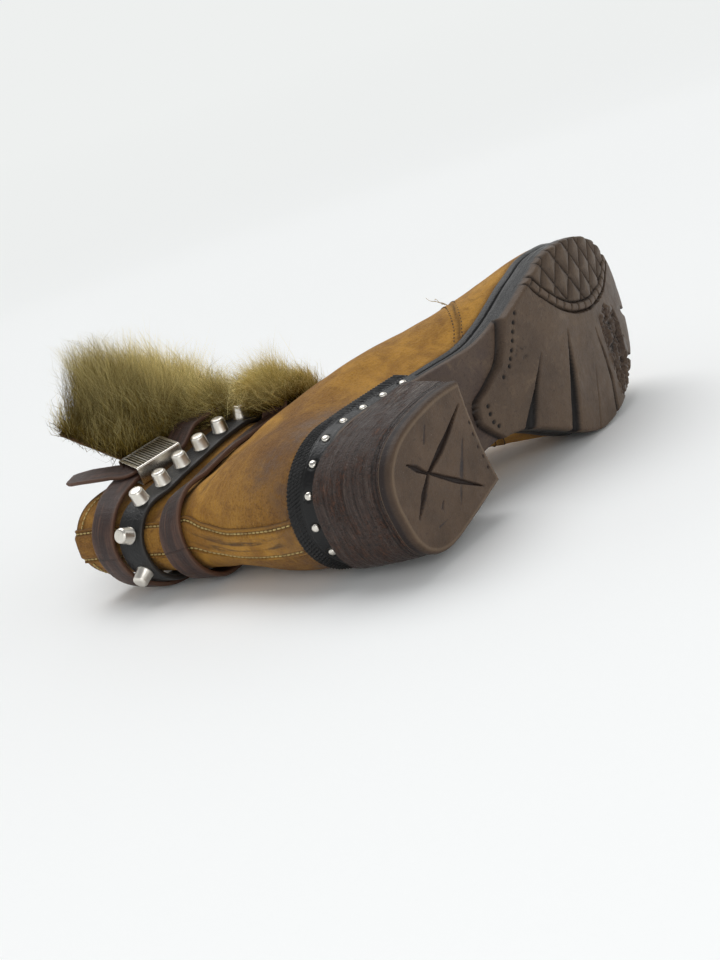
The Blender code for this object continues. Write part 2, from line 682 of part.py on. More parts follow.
def ring_places(first, last):
    """Places of the upper's own columns between two ends, so that a band's facets follow the upper's."""
    columns = np.arange(math.floor(first * AROUND) + 1, math.ceil(last * AROUND)) / AROUND
    return np.concatenate([[first], columns, [last]])


def sewn_lift(place):
    """Lift of a band that is sewn flat on the upper."""
    return GAP


def climb_row(climb):
    """Function that gives the section row at one climb for any place."""
    return lambda place: SURFACE.row_at_climb(place, climb)


def make_welt():
    """Welt round the forefoot."""
    places = ring_places(BREAST_OUT + BREAST_GAP, BREAST_IN - BREAST_GAP)
    grid = band_grid(places, climb_row(BAND_FOOT), climb_row(WELT_HEIGHT), sewn_lift)
    sheet("welt", grid, WELT_THICK, paint("black_welt"))


def make_heel_rand():
    """Rand round the heel with its row of tacks."""
    places = ring_places(BREAST_IN - 1 + BREAST_GAP, BREAST_OUT - BREAST_GAP)
    grid = band_grid(places, climb_row(BAND_FOOT), climb_row(RAND_HEIGHT), sewn_lift, 4)
    sheet("heel_rand", grid, RAND_THICK, paint("black_rand"))
    for k, place in enumerate(np.linspace(-TACK_REACH, TACK_REACH, TACKS)):
        row = SURFACE.row_at_climb(place, TACK_CLIMB)
        seat = GAP + RAND_THICK + GAP
        make_stud(f"rand_tack_{k + 1:02d}", place, row, seat, TACK_SIZE, TACK_SIDES, paint("tack_steel"))


def make_stud(name, place, row, lift, size, sides, material):
    """A metal head standing on a band, its axis square to it. Size is base radius, top radius and height."""
    base, top, height = size
    shape = bmesh.new()
    bmesh.ops.create_cone(
        shape, cap_ends=True, segments=sides, radius1=base * MM, radius2=top * MM, depth=height * MM
    )
    axis = Vector(SURFACE.normal(place, row))
    centre = Vector(SURFACE.read(place, row, lift + height / 2)) * MM
    turn = Vector((0, 0, 1)).rotation_difference(axis).to_matrix().to_4x4()
    bmesh.ops.transform(shape, matrix=Matrix.Translation(centre) @ turn, verts=shape.verts)
    mesh = bpy.data.meshes.new(name)
    shape.to_mesh(mesh)
    shape.free()
    mesh.materials.append(material)
    mesh.shade_smooth()
    mesh.set_sharp_from_angle(angle=math.radians(SHARP_DEG))
    PIECES.objects.link(bpy.data.objects.new(name, mesh))


def girth_at(place, row):
    """Length of the way round the upper at a row, as measured near one place."""
    step = 0.01
    return np.linalg.norm(SURFACE.read(place + step, row) - SURFACE.read(place - step, row)) / (2 * step)


def make_back_strip():
    """Strip up the back from the rand to the collar."""
    foot = SURFACE.row_at_climb(0.0, RAND_HEIGHT + GAP)
    top = SURFACE.row_at_height(0.0, COLLAR_BACK_Z - 1.0)
    rows = np.linspace(foot, top, STRIP_ROWS)
    spine = np.array([SURFACE.read(0.0, row) for row in rows])
    climbs = RAND_HEIGHT + np.concatenate([[0], np.cumsum(np.linalg.norm(np.diff(spine, axis=0), axis=1))])
    shifts = smooth(*zip(*STRIP_SHIFT), climbs)
    grid = []
    for across in np.linspace(-STRIP_HALF, STRIP_HALF, STRIP_COLUMNS):
        column = []
        for row, shift in zip(rows, shifts):
            column.append(SURFACE.read((across + shift) / girth_at(0.0, row), row, STRIP_LIFT))
        grid.append(column)
    sheet("back_strip", grid, STRIP_THICK, paint("strip_suede"))


# Straps


def from_back(place):
    """Place as a share either side of the back, from -0.5 to 0.5."""
    return (place + 0.5) % 1.0 - 0.5


def strap_row(heights, place, across=0.0):
    """Section row of a strap's line at a distance across from its middle."""
    return SURFACE.row_at_height(place, float(smooth(*zip(*heights), from_back(place))) + across)


def strap_lift(lifts):
    """Function that gives a strap's lift off the upper at any place."""
    return lambda place: float(np.interp(from_back(place), *zip(*lifts)))


def make_strap(name, heights, width, lifts, places, closed, material):
    """Strap of one width along its line of heights."""
    low = lambda place: strap_row(heights, place, -width / 2)
    high = lambda place: strap_row(heights, place, width / 2)
    sheet(name, band_grid(places, low, high, strap_lift(lifts)), STRAP_THICK, material, closed)


def make_straps():
    """Two brown straps, and the black one with its studs."""
    brown = paint("brown_strap")
    ring = np.arange(AROUND) / AROUND
    make_strap("lower_strap", LOWER_STRAP_HEIGHT, STRAP_WIDTH, LOWER_STRAP_LIFT, ring, True, brown)
    make_strap("upper_strap", UPPER_STRAP_HEIGHT, STRAP_WIDTH, UPPER_STRAP_LIFT, ring, True, brown)
    part_ring = ring_places(*STUD_STRAP_ENDS)
    black = paint("black_strap")
    make_strap("stud_strap", STUD_STRAP_HEIGHT, STUD_STRAP_WIDTH, STUD_STRAP_LIFT, part_ring, False, black)
    for k in range(STUDS):
        place = STUD_FIRST - k * STUD_PITCH
        row = strap_row(STUD_STRAP_HEIGHT, place)
        seat = strap_lift(STUD_STRAP_LIFT)(place) + STRAP_THICK + GAP
        make_stud(f"stud_{k + 1:02d}", place, row, seat, STUD_SIZE, STUD_SIDES, paint("stud_steel"))


# Fur


def make_fur():
    """Hide and fur as one solid: a close inner face, and an outer face of pointed locks."""
    rows = [dict(zip(FUR_COLUMNS, row)) for row in FUR_ROWS]
    inner, outer = [], []
    for i in range(FUR_ACROSS):
        share = i / (FUR_ACROSS - 1)
        for j, level in enumerate(rows):
            place = level["outer_edge"] + share * (level["inner_edge"] - level["outer_edge"])
            row = SURFACE.row_at_height(place, level["height"])
            lift = FUR_LIFT + level["flare"] * float(smooth(FLARE_FADE, (1.0, 0.0), share))
            swell = float(smooth(*zip(*FUR_SWELL), share))
            edge = FUR_EDGE + (FUR_INNER_EDGE - FUR_EDGE) * share**4
            depth = edge + (level["depth"] - FUR_EDGE) * swell
            lock = FUR_LOCK if (i + j) % 2 else 1.0
            if level["depth"] <= FUR_EDGE or i in (0, FUR_ACROSS - 1):
                lock = 1.0
            tip = SURFACE.read(place, row, lift + depth * lock)
            if lock == 1.0 and depth > 2 * FUR_EDGE and j == len(rows) - 1:
                tip = tip + np.array([0.0, 0.0, FUR_COMB])
            inner.append(SURFACE.read(place, row, lift))
            outer.append(tip)
    count = len(rows)
    faces = grid_faces(FUR_ACROSS, count, False)
    faces += [face[::-1] for face in grid_faces(FUR_ACROSS, count, False, len(inner))]
    rim = list(range(count))
    rim += [i * count + count - 1 for i in range(1, FUR_ACROSS)]
    rim += [(FUR_ACROSS - 1) * count + j for j in range(count - 2, -1, -1)]
    rim += [i * count for i in range(FUR_ACROSS - 2, 0, -1)]
    for here, there in zip(rim, rim[1:] + rim[:1]):
        faces.append((here, there, there + len(inner), here + len(inner)))
    add_mesh("fur_panel", inner + outer, faces, paint("olive_fur"))


# Buckle and zip


def buckle_frame():
    """Place of the buckle on the outer side of the shaft: seat and directions forwards, up and outwards."""
    row = strap_row(UPPER_STRAP_HEIGHT, BUCKLE_PLACE)
    out = Vector(SURFACE.normal(BUCKLE_PLACE, row))
    ends = [BUCKLE_PLACE + step for step in (-BUCKLE_REACH, BUCKLE_REACH)]
    back, front = (SURFACE.read(place, strap_row(UPPER_STRAP_HEIGHT, place)) for place in ends)
    ahead = Vector(front - back)
    ahead = (ahead - ahead.dot(out) * out).normalized()
    return Vector(SURFACE.read(BUCKLE_PLACE, row)), ahead, out.cross(ahead), out


def block(name, size, level, material=None):
    """Box in the buckle's frame, standing on a level off the upper."""
    seat, ahead, up, out = buckle_frame()
    shape = bmesh.new()
    bmesh.ops.create_cube(shape, size=1.0)
    stretch = Matrix.Diagonal((*size, 1.0))
    turn = Matrix((ahead, up, out)).transposed().to_4x4()
    place = Matrix.Translation(seat + out * (level + size[2] / 2))
    matrix = Matrix.Scale(MM, 4) @ place @ turn @ stretch
    bmesh.ops.transform(shape, matrix=matrix, verts=shape.verts)
    points = [v.co / MM for v in shape.verts]
    faces = [[v.index for v in face.verts] for face in shape.faces]
    shape.free()
    return add_mesh(name, points, faces, material, cutter=material is None)


def make_buckle():
    """Buckle as a sleeve, hollow from end to end."""
    size = (BUCKLE_LENGTH, BUCKLE_WIDTH, BUCKLE_DEPTH)
    sleeve = block("buckle", size, BUCKLE_SEAT, paint("buckle_steel"))
    room = (BUCKLE_LENGTH * 2, BUCKLE_WIDTH - 2 * BUCKLE_WALL, BUCKLE_DEPTH - 2 * BUCKLE_WALL)
    cut(sleeve, "buckle_room", [block("buckle_inside", room, BUCKLE_SEAT + BUCKLE_WALL)])


def make_strap_tail():
    """Free end of the upper strap, out of the buckle and up past the collar."""
    seat, ahead, up, out = buckle_frame()
    rise = out * TAIL_THICK / 2
    rings = []
    for k, (forwards, upwards, outwards) in enumerate(TAIL_ROUTE):
        before, after = TAIL_ROUTE[max(k - 1, 0)], TAIL_ROUTE[min(k + 1, len(TAIL_ROUTE) - 1)]
        run = ahead * (before[0] - after[0]) + up * (before[1] - after[1])
        across = out.cross(run).normalized() * TAIL_WIDTH / 2 * TAIL_SHARES[k]
        centre = seat + ahead * forwards + up * upwards + out * (TAIL_LEVEL + outwards)
        left, right = centre - across, centre + across
        rings.append([left - rise, right - rise, right + rise, left + rise])
    loft("strap_tail", rings, paint("brown_strap"))


def make_zip():
    """Zip up the inner side: tape with a raised row of teeth."""
    tape, teeth = ZIP_TAPE / 2, ZIP_TEETH / 2
    profile = (
        (-tape, 0.0), (-tape, ZIP_TAPE_THICK), (-teeth, ZIP_TAPE_THICK), (-teeth, ZIP_TEETH_THICK),
        (teeth, ZIP_TEETH_THICK), (teeth, ZIP_TAPE_THICK), (tape, ZIP_TAPE_THICK), (tape, 0.0),
    )
    rings = []
    for share in np.linspace(0, 1, ZIP_RINGS):
        place = ZIP_FOOT[0] + share * (ZIP_HEAD[0] - ZIP_FOOT[0])
        row = SURFACE.row_at_height(place, ZIP_FOOT[1] + share * (ZIP_HEAD[1] - ZIP_FOOT[1]))
        girth = girth_at(place, row)
        rings.append([SURFACE.read(place + across / girth, row, GAP + high) for across, high in profile])
    loft("zip", rings, paint("zip_teeth"))


# Lay the boot down


def evaluated_meshes():
    """Name, points and triangles of each piece, with its modifiers applied."""
    graph = bpy.context.evaluated_depsgraph_get()
    found = []
    for obj in PIECES.objects:
        if obj.type != "MESH":
            continue
        mesh = obj.evaluated_get(graph).to_mesh()
        mesh.calc_loop_triangles()
        points = np.array([v.co[:] for v in mesh.vertices])
        found.append((obj.name, points, np.array([t.vertices[:] for t in mesh.loop_triangles])))
    return found


def weight_centre(meshes):
    """Centre of weight of the pieces."""
    total, moment = 0.0, np.zeros(3)
    for name, points, triangles in meshes:
        steel = name.startswith(("stud_0", "rand_tack"))
        density = STEEL_DENSITY if steel else DENSITY.get(name, LEATHER_DENSITY)
        corners = points[triangles]
        parts = np.linalg.det(corners) / 6 * density
        total += parts.sum()
        moment += (corners.sum(axis=1) / 4 * parts[:, None]).sum(axis=0)
    return moment / total


def rest_face(points, centre):
    """Outward normal of the hull's face on the inner side that carries the weight."""
    shape = bmesh.new()
    for point in points:
        shape.verts.new(point)
    bmesh.ops.convex_hull(shape, input=shape.verts)
    for face in shape.faces:
        normal = face.normal.copy()
        if normal.y < 0.8:
            continue
        a, b, c = (v.co for v in face.verts[:3])
        down = (a - centre).dot(normal)
        foot = centre + normal * down
        turns = [(q - p).cross(foot - p).dot(normal) for p, q in ((a, b), (b, c), (c, a))]
        if min(turns) >= 0:
            shape.free()
            return normal
    raise ValueError("no face of the inner side carries the boot")


def lay_down():
    """Empty that turns the boot onto its inner side, toe along +Y, and sets it on the floor."""
    meshes = evaluated_meshes()
    points = np.concatenate([found[1] for found in meshes])
    normal = rest_face(points, Vector(weight_centre(meshes)))
    floor_up = -normal
    toe = Vector((1, 0, 0))
    toe = (toe - toe.dot(floor_up) * floor_up).normalized()
    turn = Matrix((toe.cross(floor_up), toe, floor_up))
    laid = points @ np.array(turn).T
    low, high = laid.min(axis=0), laid.max(axis=0)
    middle = Vector(((low[0] + high[0]) / 2, (low[1] + high[1]) / 2, low[2]))
    rest = bpy.data.objects.new("boot_rest", None)
    rest.matrix_world = Matrix.Translation(-middle) @ turn.to_4x4()
    PIECES.objects.link(rest)
    for obj in [*PIECES.objects, *CUTTERS.all_objects]:
        if obj is not rest:
            obj.parent = rest


def clear_scene():
    """Empty scene with the collections of pieces and cutters."""
    for obj in list(bpy.data.objects):
        bpy.data.objects.remove(obj, do_unlink=True)
    bpy.context.scene.collection.children.link(PIECES)
    bpy.context.scene.collection.children.link(CUTTERS)


def main():
    """Make every piece, then lay the boot down."""
    clear_scene()
    make_outsole()
    make_heel()
    make_insole()
    make_upper()
    make_welt()
    make_heel_rand()
    make_back_strip()
    make_straps()
    make_fur()
    make_buckle()
    make_strap_tail()
    make_zip()
    lay_down()


if __name__ == "__main__":
    main()
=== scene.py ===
"""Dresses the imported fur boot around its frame, one operator for each piece or group of like pieces.

The boot is worked out standing up, in millimetres: toe along +X, inner side along +Y, sole on Z = 0.
Two rests in the frame's record say how it lies, and every mesh is laid down by them as it is made.
"""

import itertools
import json
import math

import bpy
import numpy as np
from mathutils import Matrix, Vector


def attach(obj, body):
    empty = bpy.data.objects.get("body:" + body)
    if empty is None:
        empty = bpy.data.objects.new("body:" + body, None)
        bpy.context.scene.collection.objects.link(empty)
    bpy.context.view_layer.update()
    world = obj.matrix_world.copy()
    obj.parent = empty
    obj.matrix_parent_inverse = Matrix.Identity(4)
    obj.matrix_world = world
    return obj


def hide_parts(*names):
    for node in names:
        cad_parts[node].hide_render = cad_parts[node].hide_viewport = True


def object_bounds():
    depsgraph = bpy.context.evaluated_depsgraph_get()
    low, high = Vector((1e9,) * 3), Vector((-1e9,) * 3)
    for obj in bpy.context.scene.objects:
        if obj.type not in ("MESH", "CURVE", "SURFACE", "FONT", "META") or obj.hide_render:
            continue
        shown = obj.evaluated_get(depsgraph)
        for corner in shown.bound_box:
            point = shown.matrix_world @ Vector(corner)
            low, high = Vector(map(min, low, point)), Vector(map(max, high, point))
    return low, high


bl_info = {
    "name": "Fur boot",
    "version": (1, 0, 0),
    "blender": (4, 5, 0),
    "location": "View3D > Sidebar > Boot",
    "description": "Builds the dressed fur boot around its packed frame",
    "category": "Object",
}

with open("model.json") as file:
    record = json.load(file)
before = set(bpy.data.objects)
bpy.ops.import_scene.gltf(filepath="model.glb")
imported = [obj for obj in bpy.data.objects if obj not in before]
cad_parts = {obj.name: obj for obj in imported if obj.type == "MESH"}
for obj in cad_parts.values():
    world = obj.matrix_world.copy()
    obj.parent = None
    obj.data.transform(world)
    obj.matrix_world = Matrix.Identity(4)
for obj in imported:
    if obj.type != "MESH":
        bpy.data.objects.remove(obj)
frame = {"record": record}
CAD_LOW, CAD_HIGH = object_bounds()

MM = 0.001
GAP = 0.3

# Sections of the upper, each a closed curve through a point of the back and a point of the front.
SECTION_COLUMNS = (
    "back_x", "back_z", "front_x", "front_z", "back_round", "front_round", "arch", "axis_y",
    "out_heel", "out_waist", "out_ball", "in_heel", "in_waist", "in_ball",
)
SECTIONS = np.array((
    (-0.6, 40.0, 255.8, 24.5, 36, 79, 1.00, 2.5, 28.5, 27.0, 47.5, 28.5, 12.3, 42.8),
    (-6.0, 53.0, 259.5, 36.0, 37, 82, 0.92, 2.5, 32.0, 32.0, 50.0, 32.0, 17.0, 46.5),
    (-8.0, 67.0, 253.0, 50.0, 38, 88, 0.65, 2.5, 33.5, 38.5, 44.0, 33.5, 24.0, 43.0),
    (-8.0, 82.0, 232.0, 61.5, 38, 88, 0.38, 2.5, 33.0, 41.5, 38.5, 33.0, 30.0, 35.5),
    (-6.5, 97.0, 203.0, 73.0, 35, 74, 0.18, 2.8, 30.0, 38.0, 34.5, 30.5, 30.5, 29.5),
    (-5.0, 112.0, 168.0, 90.0, 30, 52, 0.06, 3.5, 25.5, 32.5, 30.0, 27.0, 28.0, 26.0),
    (-5.5, 126.0, 135.0, 112.0, 26, 38, 0.00, 5.0, 21.5, 26.0, 25.0, 24.0, 26.0, 25.0),
    (-8.0, 140.0, 112.0, 136.0, 24, 32, 0.00, 6.3, 17.5, 20.5, 22.5, 21.0, 23.0, 22.5),
    (-11.0, 166.0, 104.0, 166.0, 24, 28, 0.00, 4.5, 17.5, 20.5, 23.5, 21.5, 23.5, 22.5),
    (-13.0, 190.0, 101.0, 190.0, 25, 28, 0.00, 2.8, 20.0, 22.5, 24.5, 22.5, 25.0, 23.5),
    (-14.5, 216.0, 101.0, 212.0, 26, 29, 0.00, 1.5, 24.0, 26.5, 26.0, 24.0, 26.5, 25.0),
    (-15.5, 242.0, 102.0, 238.0, 27, 29, 0.00, 0.5, 25.5, 28.0, 27.0, 25.0, 27.0, 25.5),
))
HEEL_SHARE = 0.15
WAIST_SHARE = 0.42
BALL_SHARE = 0.70
END_POWER = 2.1

# Line of the sole in side view: its top face, the underside of the waist and the underside of the pad
SOLE_X = (-6, 30, 72, 110, 150, 165, 190, 215, 240, 262)
SOLE_TOP = (40.0, 37.5, 30.0, 20.5, 12.6, 10.8, 10.6, 13.4, 18.9, 26.5)
WAIST_UNDER = (35.5, 33.0, 25.0, 15.0, 7.5, 5.5, 5.5, 8.0, 13.0, 20.0)
PAD_UNDER = (35.5, 33.0, 23.0, 11.0, 1.6, 0.0, 0.0, 2.9, 8.4, 15.6)
WELT_MARGIN = 4.0
PAD_EDGE_Y = (-56.0, -41.3, -37.2, -32.1, -25.3, -18.8, -13.8, -10.7, -7.0, -3.7, 4.7, 10.8, 17.1, 40.0)
PAD_EDGE_X = (143.0, 136.3, 131.5, 128.6, 125.2, 121.5, 116.9, 111.2, 104.3, 97.8, 95.8, 99.2, 104.6, 124.0)

# Grooves of the pad in plan: route, width along it and depth
PAD_GROOVES = (
    (((143.6, -7.6), (136.5, 2), (121.3, 23.2), (114, 33)), (0.8, 2.6, 7.2, 8.4), 3.4),
    (((169.7, -8.7), (161.3, 13.9), (150.4, 39.3), (147, 48)), (0.8, 5.4, 6.6, 7.2), 3.8),
    (((184.5, 18), (178, 32), (171.4, 44.7), (167, 54)), (0.6, 1.0, 1.5, 1.6), 0.8),
    (((197.3, 1.5), (198, 18.8), (197.2, 31.7), (192, 48.2), (189, 56)), (0.8, 2.0, 2.6, 3.2, 3.6), 2.6),
    (((262, 18), (249, 10)), (5.0, 3.0), 6.0),
    (((246, 42), (233, 32)), (5.0, 3.0), 6.0),
)
PAD_DOTS = (
    (135.9, -32.8), (133.1, -29.1), (130.9, -25.3), (129.0, -21.5), (126.5, -17.6), (124.1, -14.3),
    (122.0, -11.4), (116.6, -8.3), (102.1, -0.3), (101.8, 3.7), (102.1, 8.1), (104.2, 11.3),
)
# Scuffs behind the pad's edge: place and reach
SOLE_SCUFFS = ((131.5, -13.5, 6.0), (116.0, -7.5, 3.5))
# Diamond tread: its inner bound, then its two families of lines as first x, pitch and slant at one level of y
TREAD_BOUND = ((148, -46), (153, -37), (158, -31), (169, -21), (185.6, -12), (206, -8), (223, -9), (250, -18))
TREAD_FAMILIES = ((155.5, 14.25, 0.60), (149.0, 16.0, -0.80))
TREAD_LEVEL_Y = -40.0
TREAD_START_X = 146.0
BRICK_BAND = 5.5
BRICK_PITCH = 7.6
BARK = (
    (218.4, -4.6), (232.3, 2.4), (235.0, 11.8), (234.5, 22.6), (231.0, 37.8), (226.9, 43.0), (209.8, 48.3),
    (203.4, 42.0), (203.2, 29.9), (203.5, 19.3), (203.9, 9.8), (205.3, -1.4),
)

# Heel
HEEL_COLUMNS = (
    "back", "half", "outer_x", "outer_y", "inner_x", "inner_y", "centre_x", "centre_y", "turn_deg",
)
HEEL_FACE = (34.0, 29.4, 39.0, -23.1, 35.0, 28.9, 34.5, 1.5, -8.6)
HEEL_SEAT = (38.2, 30.6, 39.3, -29.8, 38.2, 29.5, 28.8, 1.1, -4.8)
HEEL_POWER = 2.64
TOP_PIECE = 6.5
BREAST_HOLLOW = 2.0
# Lines round the stack, by height above the top piece
SCORED_LINES = (1.2, 2.5)
LIFT_LINES = (6.4, 10.8, 15.4, 19.6, 23.8)
# Slashes in the wear face: route, widths and depth
HEEL_SLASHES = (
    (((63.3, -18.3), (47.9, -10.9), (37.7, -6.8), (27.6, -3.4)), (0.6, 2.4, 3.8, 1.8), 2.0),
    (((26.4, -3.0), (18.3, 3.7), (10.6, 9.8)), (1.8, 3.4, 0.6), 1.8),
    (((15.7, -13.2), (20.8, -8.6), (26.3, -3.5)), (0.6, 3.0, 1.4), 1.6),
    (((28.0, -2.6), (40.7, 7.2), (59.9, 20.9)), (1.4, 2.8, 0.6), 1.4),
    (((57.4, -4.4), (48.6, 7.3), (39.9, 19.3)), (0.8, 3.4, 0.8), 0.32),
    (((36.0, -21.5), (31.3, -15.3)), (0.8, 1.4), 0.5),
    (((29.4, 11.8), (27.4, 13.8)), (1.0, 1.6), 0.6),
    (((27.8, 19.7), (20.6, 19.6)), (0.5, 0.9), 0.4),
)
HEEL_DOTS = ((68.1, -15.8), (66.1, -7.9), (65.6, -2.4), (65.7, 4.2), (66.9, 9.5), (67.3, 15.2))

# Upper and the bands on it. Places run round it from the back, over the outer side, the front and the
# inner side, as 0 to 1.
COLLAR_BACK_Z = 199.0
COLLAR_FRONT_Z = 188.0
BREAST_OUT = 0.165
BREAST_IN = 0.835
WELT_HEIGHT = 10.0
WELT_THICK = 1.3
RAND_HEIGHT = 16.2
RAND_THICK = 2.0
STRIP_HALF = 9.0
STRIP_SEAM = 6.8
STRIP_SHIFT = (
    (16.0, -3.2), (34.0, -4.6), (55.0, -5.0), (75.0, -1.5), (90.0, 4.5), (115.0, 5.0), (165.0, 3.0),
)
TACKS = 15
TACK_REACH = 0.152
TACK_CLIMB = 5.2
TACK_RADIUS = 1.95
INNER_LANES = 4
GIRTH_AT_FOOT = 620

# Straps, with height and lift off the upper by place from the back
STRAP_WIDTH = 14.0
STRAP_THICK = 2.4
STUD_STRAP_WIDTH = 15.0
STUD_STRAP_ENDS = (-0.165, 0.42)
UPPER_STRAP_HEIGHT = (
    (-0.5, 176.0), (-0.34, 175.0), (-0.25, 171.0), (-0.14, 165.0), (-0.09, 166.5), (-0.04, 172.0),
    (0.0, 173.5), (0.05, 174.5), (0.1, 178.0), (0.16, 181.8), (0.215, 178.5), (0.26, 174.5), (0.31, 175.5),
    (0.5, 176.0),
)
LOWER_STRAP_HEIGHT = ((-0.5, 131.0), (0.0, 132.0), (0.5, 131.0))
STUD_STRAP_HEIGHT = ((-0.5, 156.0), (0.0, 158.0), (0.5, 156.0))
UPPER_STRAP_LIFT = (
    (-0.5, 8.2), (-0.34, 8.2), (-0.31, 4.8), (-0.13, 4.6), (-0.08, 5.0), (-0.04, 4.6), (0.06, 4.6),
    (0.11, 4.2), (0.152, 3.8), (0.2, 3.1), (0.235, 3.1), (0.265, 3.6), (0.31, 8.2), (0.5, 8.2),
)
LOWER_STRAP_LIFT = (
    (-0.5, 8.2), (-0.34, 8.2), (-0.31, 3.4), (-0.195, 3.4), (-0.165, 0.9), (-0.12, 0.9), (-0.08, 2.2),
    (0.08, 2.2), (0.12, 0.9), (0.35, 0.9), (0.372, 8.2), (0.5, 8.2),
)
STUD_STRAP_LIFT = ((-0.5, 0.9), (-0.12, 0.9), (-0.08, 2.2), (0.08, 2.2), (0.12, 0.9), (0.5, 0.9))
STUDS = 8
STUD_FIRST = 0.379
STUD_PITCH = 0.0585
STUD_SIZE = (4.4, 3.65, 6.9)
BUCKLE_PLACE = 0.213
BUCKLE_REACH = 0.04
BUCKLE_LENGTH = 27.0
BUCKLE_WIDTH = 20.0
BUCKLE_DEPTH = 10.0
BUCKLE_WALL = 1.2
BUCKLE_SEAT = 0.6
TAIL_WIDTH = 12.5
TAIL_THICK = 2.0
TAIL_LEVEL = 7.3
TAIL_ROUTE = ((10.0, 0.0, 0.0), (-14.0, 0.0, 0.0), (-21.0, 5.0, 1.5), (-29.0, 14.0, 2.0), (-36.0, 24.0, 1.0))

# Fur: a row for each level, with height, depth of fur, its two edges and its flare
FUR_ROWS = np.array((
    (121.0, 5.0, 0.410, 0.625, 0.0),
    (124.0, 4.0, 0.405, 0.630, 0.0),
    (131.5, 4.0, 0.400, 0.635, 0.0),
    (139.5, 4.0, 0.398, 0.640, 0.0),
    (142.5, 14.0, 0.402, 0.640, 0.0),
    (149.0, 26.0, 0.404, 0.645, 0.0),
    (156.0, 30.0, 0.404, 0.645, 0.0),
    (163.0, 26.0, 0.400, 0.645, 0.0),
    (167.5, 14.0, 0.385, 0.645, 0.0),
    (168.5, 4.0, 0.370, 0.645, 0.0),
    (176.5, 4.0, 0.340, 0.645, 0.0),
    (184.5, 4.0, 0.320, 0.645, 0.0),
    (187.5, 16.0, 0.285, 0.645, 0.0),
    (194.0, 31.0, 0.206, 0.645, 1.5),
    (206.0, 40.0, 0.200, 0.645, 7.0),
    (218.0, 45.0, 0.198, 0.645, 12.5),
    (230.0, 43.0, 0.198, 0.645, 18.0),
))
FUR_LENGTH = (
    (121.0, 18.0), (131.0, 30.0), (142.0, 35.0), (156.0, 38.0), (168.0, 35.0), (180.0, 33.0), (194.0, 38.0),
    (206.0, 46.0), (218.0, 52.0), (230.0, 50.0),
)
FUR_SWELL = ((0.0, 0.3), (0.06, 0.55), (0.16, 0.95), (0.5, 0.92), (0.8, 0.5), (1.0, 0.2))
FUR_LIFT = 3.6
HIDE_THICK = 1.4
GIRTH_AT_FUR = 270
# Bare run under the buckle, where no hair grows: its middle height, half its height and its last place
BARE_RUN = (176.0, 6.6, 0.30)
# Hair stays this far off the floor, and past these reaches beyond the CAD box only a share of it goes on
FLOOR_CLEAR = (0.0006, 0.002)
REACH_LOW = 0.004
REACH_HIGH = 0.009
REACH_SHARE = 0.12
CREST_REACH = 0.001
CREST_SHARE = 0.25

# Zip up the inner side
ZIP_FOOT = (0.82, 52.0)
ZIP_HEAD = (0.735, 190.0)
ZIP_TAPE = 11.0

# Rests under the sole in the boot's frame: the heel's x, and the way from it to the forefoot's
HEEL_REST_X = 50.0
REST_TO_REST = (130.0, 3.0)

THREAD_SIDES = 6

# Camera in the boot's frame: where it stands, its right and its down, and its lens
CAMERA_AT = (-341.306, -171.454, -306.335)
CAMERA_RIGHT = (0.54285, 0.36331, -0.75718)
CAMERA_DOWN = (-0.47484, 0.87642, 0.08009)
CAMERA_LENS = 45.0
CAMERA_SENSOR = 36.0


def boot_placement(mounts):
    """Turn and shift that lay the boot down, from the two rests under its sole."""
    rests = {mount["name"]: mount for mount in mounts}
    heel = np.array(rests["heel_rest"]["pos_m"])
    forefoot = np.array(rests["forefoot_rest"]["pos_m"])
    up = -np.array(rests["heel_rest"]["axis"])
    up = up / np.linalg.norm(up)
    reach = forefoot - heel
    reach = reach - up * (reach @ up)
    reach = reach / np.linalg.norm(reach)
    lean = math.atan2(REST_TO_REST[1], REST_TO_REST[0])
    toe = reach * math.cos(lean) - np.cross(up, reach) * math.sin(lean)
    turn = np.stack([toe, np.cross(up, toe), up], axis=1)
    return turn, heel - turn @ (HEEL_REST_X * MM, 0.0, 0.0)


TURN, SHIFT = boot_placement(frame["record"]["mounts"])


def tone(red, green, blue):
    """Linear colour from display levels of 0 to 255."""
    levels = np.array((red, green, blue)) / 255
    linear = np.where(levels <= 0.04045, levels / 12.92, ((levels + 0.055) / 1.055) ** 2.4)
    return tuple(float(v) for v in linear)


# Curves, fields and the last


def smooth(places, values, x):
    """Curve through a table that never overshoots a row."""
    places = np.asarray(places, float)
    values = np.asarray(values, float)
    x = np.clip(x, places[0], places[-1])
    slopes = np.diff(values) / np.diff(places)
    before, after = slopes[:-1], slopes[1:]
    turning = before * after <= 0
    total = np.where(turning, 1.0, before + after)
    inner = np.where(turning, 0.0, 2 * before * after / total)
    tangents = np.concatenate([slopes[:1], inner, slopes[-1:]])
    i = np.clip(np.searchsorted(places, x, side="right") - 1, 0, len(places) - 2)
    step = places[i + 1] - places[i]
    t = (x - places[i]) / step
    start = (1 + 2 * t) * (1 - t) ** 2 * values[i] + t * (1 - t) ** 2 * step * tangents[i]
    end = t * t * (3 - 2 * t) * values[i + 1] + t * t * (t - 1) * step * tangents[i + 1]
    return start + end


def ease(low, high, x):
    """Smooth step from 0 at low to 1 at high."""
    t = np.clip((x - low) / (high - low), 0, 1)
    return t * t * (3 - 2 * t)


def unit(vectors):
    """Vectors brought to length 1."""
    return vectors / np.linalg.norm(vectors, axis=-1, keepdims=True)


def circle(count):
    """Angles of even steps round a circle."""
    return np.linspace(0, 2 * math.pi, count, endpoint=False)


def hump(away, width):
    """Bell curve: 1 where away is 0, and nearly 0 from two widths on."""
    return np.exp(-((away / width) ** 2))


def run_along(points):
    """Distance along a line at each of its points."""
    return np.concatenate([[0], np.cumsum(np.linalg.norm(np.diff(points, axis=0), axis=1))])


